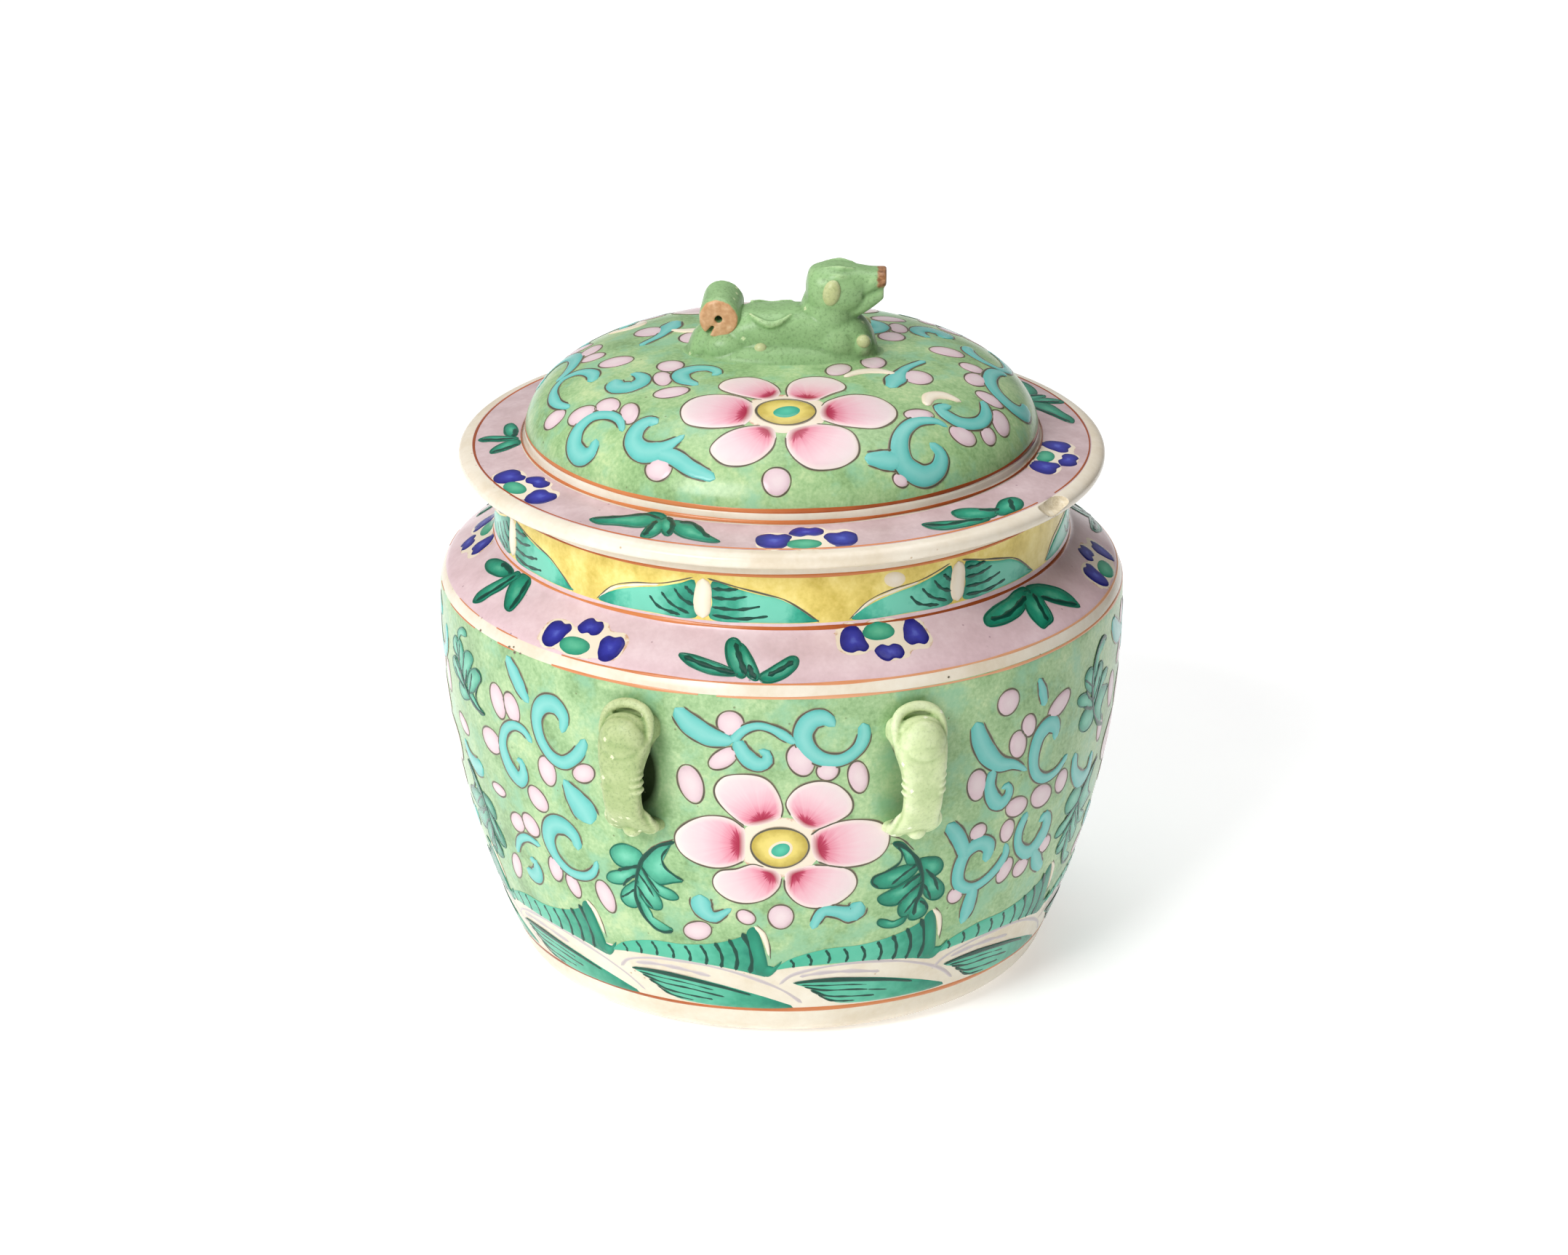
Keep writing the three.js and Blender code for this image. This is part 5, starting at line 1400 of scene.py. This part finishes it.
# %% Lugs
def spotted(name, stops, overlay=None, size=3.0, rough=0.34, amount=0.5):
    """Glaze deeper in hollows, pale on ridges, freckled. overlay lays bare clay or painted shade over it."""
    made, tree = material(name)
    place = millimetres(tree)
    hollow = node(tree, "NewGeometry").outputs["Pointiness"]
    ridge = node(tree, "MapRange", {0: hollow, 1: 0.44, 2: 0.56, 3: 0.0, 4: 1.0}).outputs[0]
    cloud = node(tree, "TexNoise", {"Vector": place, "Scale": 1 / size, "Detail": 4.0,
        "Roughness": 0.55}).outputs["Fac"]
    both = node(tree, "Math", {0: cloud, 1: 0.5, 2: ridge}, operation="MULTIPLY_ADD").outputs[0]
    level = node(tree, "Math", {0: both, 1: 0.25}, operation="SUBTRACT").outputs[0]
    colour = node(tree, "ValToRGB", {"Fac": level}, stops).outputs["Color"]
    grain = node(tree, "TexNoise", {"Vector": place, "Scale": 1 / 0.7, "Detail": 3.0,
        "Roughness": 0.7}).outputs["Fac"]
    freckle = node(tree, "MapRange", {0: grain, 1: 0.5, 2: 0.68, 3: 0.0, 4: amount}).outputs[0]
    colour = node(tree, "Mix", {0: freckle, 6: colour, 7: "#5d7a4c"}, data_type="RGBA").outputs[2]
    if overlay:
        colour = overlay(tree, place, colour)
    finish(tree, colour, rough, 0.03, 1.6, 0.05, place, 0.3)
    return made


def strap_shade(tree, place, colour):
    """Painted shade on the strap's inner face: less than 4.9 mm out from the wall, whose radius is a square
    law.
    """
    x, y, z = node(tree, "SeparateXYZ", {0: place}).outputs
    flat = node(tree, "CombineXYZ", {0: x, 1: y}).outputs[0]
    radius = node(tree, "VectorMath", {0: flat}, operation="LENGTH").outputs["Value"]
    below = node(tree, "Math", {0: 84.0, 1: z}, operation="SUBTRACT").outputs[0]
    square = node(tree, "Math", {0: below, 1: 2.0}, operation="POWER").outputs[0]
    out = node(tree, "Math", {0: square, 1: 0.00224, 2: radius}, operation="MULTIPLY_ADD").outputs[0]
    near = node(tree, "MapRange", {0: out, 1: 80.6, 2: 79.8}).outputs[0]
    reach = node(tree, "Math", {0: z, 1: 67.4}, operation="SUBTRACT").outputs[0]
    reach = node(tree, "Math", {0: reach}, operation="ABSOLUTE").outputs[0]
    level = node(tree, "MapRange", {0: reach, 1: 9.6, 2: 8.2}).outputs[0]
    both = node(tree, "Math", {0: near, 1: level}, operation="MULTIPLY").outputs[0]
    return node(tree, "Mix", {0: both, 6: colour, 7: "#232c12"}, data_type="RGBA").outputs[2]


# yellowish green glaze of the lugs, darker in the hollows, with painted shade on the strap's inner face
LUG = spotted("lug_glaze", [(0.1, "#6b8550"), (0.34, "#8ea56a"), (0.54, "#abbb84"), (0.76, "#c6d19f"),
    (1.0, "#e0e6bd")], strap_shade, size=3.4, rough=0.46, amount=0.4)
# the thinner, paler glaze of the right front lug, also with painted shade on the strap's inner face
LUG_PALE = spotted("lug_glaze_pale", [(0.1, "#87a26a"), (0.34, "#abc187"), (0.54, "#ccdba6"),
    (0.76, "#e2ecc2"), (1.0, "#f1f5dc")], strap_shade, size=3.4, rough=0.42, amount=0.2)


print("lug glazes ready")

# %% [markdown]
# ## One lug, four times
# A pressed strap with a hooded head, ribs and a flared tail. The right front one, and the one across
# from it, carry the paler glaze.


# %% One lug, four times
def lug(name, azimuth, node_name, glaze):
    """A strap with a hooded mask at its head, a ribbed waist and a tail of rounded lobes."""

    def at(across, out, z):
        """A place on the lug, out from the wall at its own height."""
        return (across, float(belly(z)) + out, z)

    path = [at(0, -3.5, 78.3), at(0, 1.5, 78.3), at(0, 5.5, 75.2), at(0, 7.1, 69.6), at(0, 7.0, 62.8),
        at(0, 4.4, 57.8), at(0, 1.2, 55.8), at(0, -3.5, 55.8)]
    n = 64
    curve = smooth(path, n)
    t = np.linspace(0, 1, n)
    half = np.interp(t, [0, 0.24, 0.33, 0.43, 0.68, 0.84, 1], [5.9, 5.9, 5.2, 4.45, 4.2, 5.7, 6.2])
    deep = np.interp(t, [0, 0.12, 0.34, 0.48, 0.72, 0.86, 1], [3.4, 3.4, 2.8, 1.9, 1.8, 1.6, 2.0])
    along = np.gradient(curve, axis=0)
    along /= np.linalg.norm(along, axis=1, keepdims=True)
    up = np.stack([0 * along[:, 0], -along[:, 2], along[:, 1]], 1)
    v = np.linspace(0, 2 * math.pi, 32, endpoint=False)
    cos, sin = (np.sign(f) * np.abs(f) ** 0.65 for f in (np.cos(v), np.sin(v)))
    sideways = half[:, None, None] * cos[None, :, None] * np.array([1, 0, 0])
    outwards = deep[:, None, None] * sin[None, :, None] * up[:, None]
    rows = curve[:, None] + sideways + outwards
    solids = [grid_solid(rows), egg(at(0, 6.0, 77.4), (5.2, 3.1, 4.9)),
        egg(at(0, 7.4, 75.8), (4.3, 1.9, 3.2)), egg(at(0, 4.3, 79.6), (4.8, 3.0, 3.0))]
    hood = [at(-5.0, 5.4, 75.6), at(-5.4, 4.4, 78.4), at(-5.0, 3.2, 81.4), at(-3.3, 2.3, 83.3),
        at(0, 2.0, 84.1), at(3.3, 2.3, 83.3), at(5.0, 3.2, 81.4), at(5.4, 4.4, 78.4), at(5.0, 5.4, 75.6)]
    solids.append(tube(hood, [0.5, 0.9, 1.1, 1.15, 1.15, 1.15, 1.1, 0.9, 0.5], n=64))
    for side in (-1, 1):
        for k in range(4):
            z = 71.4 - 1.65 * k
            rib = [at(side * 1.6, 8.6, z - 0.3), at(side * 3.1, 8.6, z), at(side * 4.3, 7.7, z + 0.25),
                at(side * 4.5, 6.2, z + 0.4)]
            solids.append(tube(rib, [0.2, 0.5 + 0.08 * side, 0.62 + 0.1 * side, 0.42 + 0.05 * side], n=14,
                m=12))
        curl = [at(side * 4.1, 5.6, 61.0), at(side * 5.0, 4.4, 58.4), at(side * 5.2, 3.0, 56.4),
            at(side * 4.0, 2.6, 55.1), at(side * 2.6, 3.0, 54.9)]
        solids.append(tube(curl, [0.4, 0.8, 1.0, 0.95, 0.6], n=26, m=14))
    solids.append(egg(at(0.3, 4.0, 55.8), (2.2, 1.9, 2.1)))
    turn = math.radians(azimuth)

    def place(p):
        """Turns the lug's own directions to its place round the jar."""
        return np.stack([p[:, 1] * math.sin(turn) + p[:, 0] * math.cos(turn),
            -p[:, 1] * math.cos(turn) + p[:, 0] * math.sin(turn), p[:, 2]], 1)

    made = clay(name, solids, [glaze], "jar", 0.3, 5, place)
    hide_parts(node_name)
    return made


for azimuth, side in ((22.8, "front_right"), (157.2, "back_right"), (202.8, "back_left"),
    (-22.8, "front_left")):
    lug("lug_shape_" + side, azimuth, "lug_" + side, LUG_PALE if azimuth in (22.8, 202.8) else LUG)
print("lugs modelled")

# %% [markdown]
# ## Lion
# It crouches along X and looks towards +X. Heights are counted from the dome's crown.


# %% Lion
def broken_snout(tree, place, colour):
    """Bare clay where the snout is broken: everything past a rough plane."""
    parts = node(tree, "SeparateXYZ", {0: place})
    rough = node(tree, "TexNoise", {"Vector": place, "Scale": 1 / 1.6, "Detail": 3.0,
        "Roughness": 0.55}).outputs["Fac"]
    edge = node(tree, "Math", {0: rough, 1: 1.2, 2: parts.outputs[0]}, operation="MULTIPLY_ADD").outputs[0]
    lift = node(tree, "MapRange", {0: parts.outputs[2], 1: CROWN + 14.9, 2: CROWN + 15.5}).outputs[0]
    bare = node(tree, "MapRange", {0: edge, 1: 21.2, 2: 21.6}).outputs[0]
    both = node(tree, "Math", {0: bare, 1: lift}, operation="MULTIPLY").outputs[0]
    grain = node(tree, "TexNoise", {"Vector": place, "Scale": 1 / 1.0, "Detail": 4.0,
        "Roughness": 0.55}).outputs["Fac"]
    clay_colour = node(tree, "ValToRGB", {"Fac": grain}, [(0.3, "#6b4630"), (0.52, "#a2734d"),
        (0.75, "#c89a74")]).outputs["Color"]
    return node(tree, "Mix", {0: both, 6: colour, 7: clay_colour}, data_type="RGBA").outputs[2]


def broken_tail(tree, place, colour):
    """Bare clay on the roll's near end."""
    parts = node(tree, "SeparateXYZ", {0: place})
    slope = node(tree, "Math", {0: parts.outputs[0], 1: 0.122, 2: parts.outputs[1]},
        operation="MULTIPLY_ADD").outputs[0]
    rough = node(tree, "TexNoise", {"Vector": place, "Scale": 1 / 1.8, "Detail": 3.0,
        "Roughness": 0.55}).outputs["Fac"]
    ragged = node(tree, "Math", {0: rough, 1: 0.9, 2: slope}, operation="MULTIPLY_ADD").outputs[0]
    bare = node(tree, "MapRange", {0: ragged, 1: -6.35, 2: -6.6}).outputs[0]
    grain = node(tree, "TexNoise", {"Vector": place, "Scale": 1 / 1.4, "Detail": 4.0,
        "Roughness": 0.55}).outputs["Fac"]
    clay_colour = node(tree, "ValToRGB", {"Fac": grain}, [(0.25, "#b98558"), (0.55, "#d2a47a"),
        (0.8, "#e6c5a0")]).outputs["Color"]
    return node(tree, "Mix", {0: bare, 6: colour, 7: clay_colour}, data_type="RGBA").outputs[2]


LION_STOPS = [(0.1, "#6c905c"), (0.36, "#86ab74"), (0.58, "#95ba82"), (0.82, "#afce96"), (1.0, "#ccdaa8")]
# green glaze of the lion, with bare clay at the broken snout and at the broken tail
LION = spotted("lion_glaze", LION_STOPS, broken_snout)
TAIL = spotted("tail_glaze", LION_STOPS, broken_tail)
# thick yellowish drops of glaze: ears, paws, knees
DROP = spotted("pale_glaze", [(0.1, "#9aa466"), (0.5, "#b6bd84"), (1.0, "#cfd3a4")], size=1.5, amount=0.25)
print("lion glazes ready")

# %% [markdown]
# ## Trunk and head
# Trunk, skull, snout and jaw are slices across X, each a rounded square. Eggs and tubes add knees,
# paws, ridges on the head and crescents on the flanks, and the remesh melts them into one piece.


# %% Trunk and head
def above(x, y, h):
    """A place on the lion, whose height counts from the dome's crown."""
    return (x, y, CROWN + h)


# the trunk from tail to chest: x, height of the back, half width, and how round the slice is
TRUNK = [(-20.6, 0.6, 3.0, 1), (-19, 4.2, 4.8, 1), (-16, 6.8, 5.6, 1), (-12, 8.4, 6.0, 0.95),
    (-7.5, 9.6, 6.9, 0.7), (-1, 9.8, 7.2, 0.62), (4, 10.0, 7.1, 0.64), (10, 9.8, 7.1, 0.66),
    (16, 8.2, 6.4, 0.7), (19.3, 5.4, 4.8, 0.8), (20.9, 0.8, 2.6, 1)]
SLICE_POINTS = 48
theta = np.linspace(0, 2 * math.pi, SLICE_POINTS, endpoint=False)


def slices(stops, n, power=None):
    """Upright slices across X from (x, middle height, half height, half width, power).

    The lower the power, the squarer the slice."""
    rows = []
    for x, mid, high, wide, *own in smooth(stops, n):
        cos, sin = (np.sign(f) * np.abs(f) ** (power or own[0]) for f in (np.cos(theta), np.sin(theta)))
        rows.append(np.stack([np.full(SLICE_POINTS, x), wide * cos, CROWN + mid + high * sin], 1))
    return rows


trunk_rows = slices([(x, (top - 3) / 2, (top + 3) / 2, half, power) for x, top, half, power in TRUNK], 60)
skull_rows = slices([(5.2, 14.6, 1.0, 1.6), (6.0, 14.3, 4.0, 4.2), (8.0, 14.0, 5.4, 5.7),
    (11.5, 14.0, 5.9, 6.1), (15.5, 14.4, 5.0, 5.3), (17.4, 15.0, 4.0, 4.4)], 30, 0.8)
snout_rows = slices([(14, 15.9, 3.6, 4.6), (17, 15.85, 3.3, 4.2), (19, 16.15, 2.65, 4.0),
    (21, 16.7, 2.0, 3.8), (22.7, 16.95, 1.8, 3.5)], 20, 0.75)
jaw_rows = slices([(12.5, 10.1, 3.2, 4.3), (16.5, 10.8, 2.6, 3.7), (19, 12.1, 2.45, 3.4),
    (21, 13.3, 2.1, 3.1), (22.1, 13.7, 1.5, 2.7)], 20, 0.75)
lion_solids = [grid_solid(rows) for rows in (trunk_rows, skull_rows, snout_rows, jaw_rows)]
lion_solids.append(tube([above(9.6, 0, 1), above(10, 0, 6), above(10.2, 0, 10), above(11, 0, 14)],
    [6.9, 6.6, 6.2, 5.2], n=24, m=36))
# a low skirt where the body is luted to the dome
lion_solids.append(egg(above(0.2, 0, -1.2), (21.4, 10.8, 5.8)))
lion_solids.append(egg(above(0.3, 0, -0.5), (22.6, 11.2, 1.3)))
for side in (-1, 1):
    lion_solids += [
        egg(above(-11.6, side * 4.3, 1.8), (5.4, 3.4, 3.8)),
        tube([above(-6.9, side * 4.3, 9.6), above(-4.9, side * 6.1, 8.7), above(-2.4, side * 6.8, 7.9),
                above(0.2, side * 6.4, 8.6), above(2.2, side * 4.6, 9.7)], [0.25, 0.65, 0.85, 0.65, 0.25],
                n=24, m=12),
        egg(above(-4.6, side * 5.4, 1.8), (3.6, 2.4, 2.6)),
        egg(above(11.4, side * 4.8, 3.0), (5.0, 2.9, 4.8)),
        egg(above(17.2, side * 4.9, 3.0), (2.4, 1.9, 2.6)),
        tube([above(8.6, side * 3.4, 18.3), above(12.4, side * 4.4, 17.9), above(15.6, side * 3.6, 17.8)],
            [0.5, 1.05, 0.5], n=16, m=12),
        tube([above(9.4, side * 2.2, 19.5), above(12.6, side * 2.8, 19.5), above(15.6, side * 2.2, 19.2)],
            [0.3, 0.7, 0.3], n=16, m=12),
        egg(above(19.4, side * 3.0, 16.6), (1.9, 1.1, 1.3), -20),
        tube([above(-5.6, side * 5.2, 8.5), above(-2.2, side * 5.9, 7.6), above(1.2, side * 5.4, 8.7)],
            [0.35, 0.8, 0.35], n=18, m=12),
    ]
lion = clay("lion_shape", lion_solids, [LION], "lid", 0.32, 6)
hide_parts("lion_body", "lion_head")
print("lion body and head modelled")

# %% [markdown]
# ## Ears and drops
# Ears and paws stand out as thick pale drops, so they are pieces of their own.

# %% Ears and drops
for side, word in ((-1, "right"), (1, "left")):
    ear = clay("ear_shape_" + word, [egg(above(10.9, side * 5.6, 14.8), (2.0, 1.4, 3.0), 12)], [DROP], "lid",
        0.3, 3)
    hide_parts("lion_ear_" + word)
drops = [egg(above(x, y, h), (1.6, 1.3, 1.5)) for x, y, h in ((-4.4, -7.0, 2.4), (-4.4, 7.0, 2.4),
    (17.8, -6.2, 4.1), (17.8, 6.2, 4.1))]
clay("lion_paws", drops, [DROP], "lid", 0.3, 3)
print("ears and paws modelled")

# %% [markdown]
# ## Tail
# The tail is rolled up like a leaf of clay. Its near end is broken off flat and shows bare clay.

# %% Tail
# The tail is a roll with a slot along it, made of slices along Y and closed at both ends.
roll = np.linspace(math.radians(8), math.radians(352), 56)
outer_r = 4.5 + 0.1 * np.cos(3 * roll)
outer = np.stack([outer_r * np.cos(roll), outer_r * np.sin(roll)], 1)
inner_roll = np.stack([0.9 * np.cos(roll), 0.9 * np.sin(roll)], 1)[::-1]
section = np.vstack([outer, inner_roll])
c, s = math.cos(math.radians(235)), math.sin(math.radians(235))
section = section @ np.array([[c, s], [-s, c]])
TAIL_SLICES = 18
lengths = np.linspace(-5.2, 5.2, TAIL_SLICES)
swell = 1 - 0.12 * np.clip((-3.6 - lengths) / 1.6, 0, 1) ** 2
tail_rows = np.stack(
    [
        np.stack([section[:, 0] * s, np.full(len(section), y), section[:, 1] * s], 1)
        for y, s in zip(lengths, swell)
    ]
)
tail_rows[..., 2] += 0.11 * tail_rows[..., 1]
c, s = math.cos(math.radians(-4)), math.sin(math.radians(-4))
tail_rows = tail_rows @ np.array([[c, s, 0], [-s, c, 0], [0, 0, 1]]) + above(-13.2, -0.5, 9.1)
m = len(section)
cells = [
    (i * m + j, i * m + (j + 1) % m, (i + 1) * m + (j + 1) % m, (i + 1) * m + j)
    for i in range(TAIL_SLICES - 1)
    for j in range(m)
]
cap = [(j, m - 1 - j, m - 2 - j, j + 1) for j in range(m // 2 - 1)]
caps = [tuple(reversed(c)) for c in cap] + [tuple((TAIL_SLICES - 1) * m + v for v in c) for c in cap]
tail = clay("tail_shape", [(tail_rows.reshape(-1, 3), cells + caps)], [TAIL], "lid", 0.28, 3)
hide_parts("lion_tail")
print("lion modelled")

# %% [markdown]
# ## Light and floor
# A large soft light stands to the left of the camera, with a weak one above, over white paper that glows a
# little: painted light that lifts the floor and its shadows. A dark card out of view on the right deepens
# that side.


# %% Light
def sheet(name, corners, paint):
    """A flat sheet with four corners, for the stage."""
    mesh = bpy.data.meshes.new(name)
    mesh.from_pydata(corners, [], [(0, 1, 2, 3)])
    mesh.materials.append(paint)
    made = bpy.data.objects.new(name, mesh)
    bpy.context.scene.collection.objects.link(made)
    return made


paper, tree = material("glowing_white_paper")
cloud = node(tree, "TexNoise", {"Vector": millimetres(tree), "Scale": 1 / 60.0, "Detail": 3.0,
    "Roughness": 0.55}).outputs["Fac"]
tone = node(tree, "ValToRGB", {"Fac": cloud}, [(0.3, "#fbfbfb"), (0.7, "#ffffff")]).outputs["Color"]
finish(tree, tone, 0.7, 0.01, 1.0, coat=0.0)
# the paper's glow is painted light: it brightens the floor, the shadows on it and the jar's lower side
tree.nodes["Principled BSDF"].inputs["Emission Color"].default_value = linear("#ffffff")
tree.nodes["Principled BSDF"].inputs["Emission Strength"].default_value = 0.36
floor = sheet("floor", [(-3, -3, 0), (3, -3, 0), (3, 5, 0), (-3, 5, 0)], paper)
floor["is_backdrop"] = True

felt, tree = material("dark_felt")
cloud = node(tree, "TexNoise", {"Vector": millimetres(tree), "Scale": 1 / 8.0, "Detail": 3.0,
    "Roughness": 0.55}).outputs["Fac"]
tone = node(tree, "ValToRGB", {"Fac": cloud}, [(0.3, "#1c1c1c"), (0.7, "#262626")]).outputs["Color"]
finish(tree, tone, 0.9, 0.1, 1.0, coat=0.0)
card = sheet("dark_card", [(0.48, -0.6, 0), (0.48, 0.6, 0), (0.48, 0.6, 0.8), (0.48, -0.6, 0.8)], felt)
# the card is only seen in reflections, so a view from the right is not blocked
card.visible_camera = False
card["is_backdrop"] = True

world = bpy.data.worlds.new("world")
bpy.context.scene.world = world
world.use_nodes = True
world.node_tree.nodes["Background"].inputs["Color"].default_value = linear("#ffffff")
world.node_tree.nodes["Background"].inputs["Strength"].default_value = 0.26


def softbox(name, place, size, power):
    """A square area light that faces the jar."""
    data = bpy.data.lights.new(name, "AREA")
    data.shape, data.size, data.energy = "SQUARE", size, power
    made = bpy.data.objects.new(name, data)
    made.location = place
    made.rotation_euler = (Vector((0, 0, 0.08)) - Vector(place)).to_track_quat("-Z", "Y").to_euler()
    bpy.context.scene.collection.objects.link(made)


softbox("key", (-0.76, -1.17, 1.07), 0.75, 22.5)
softbox("top", (0.0, 0.3, 1.4), 1.1, 10.0)
bpy.context.scene.view_settings.view_transform = "Standard"
print("lights placed")

# %% [markdown]
# ## Finish
# The model's box is measured once more, beside the CAD box.

# %% Finish
model_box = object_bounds()
plain = lambda box: [[float(v) for v in corner] for corner in box]
{"cad": plain(cad_box), "model": plain(model_box)}
print("model box", plain(model_box))
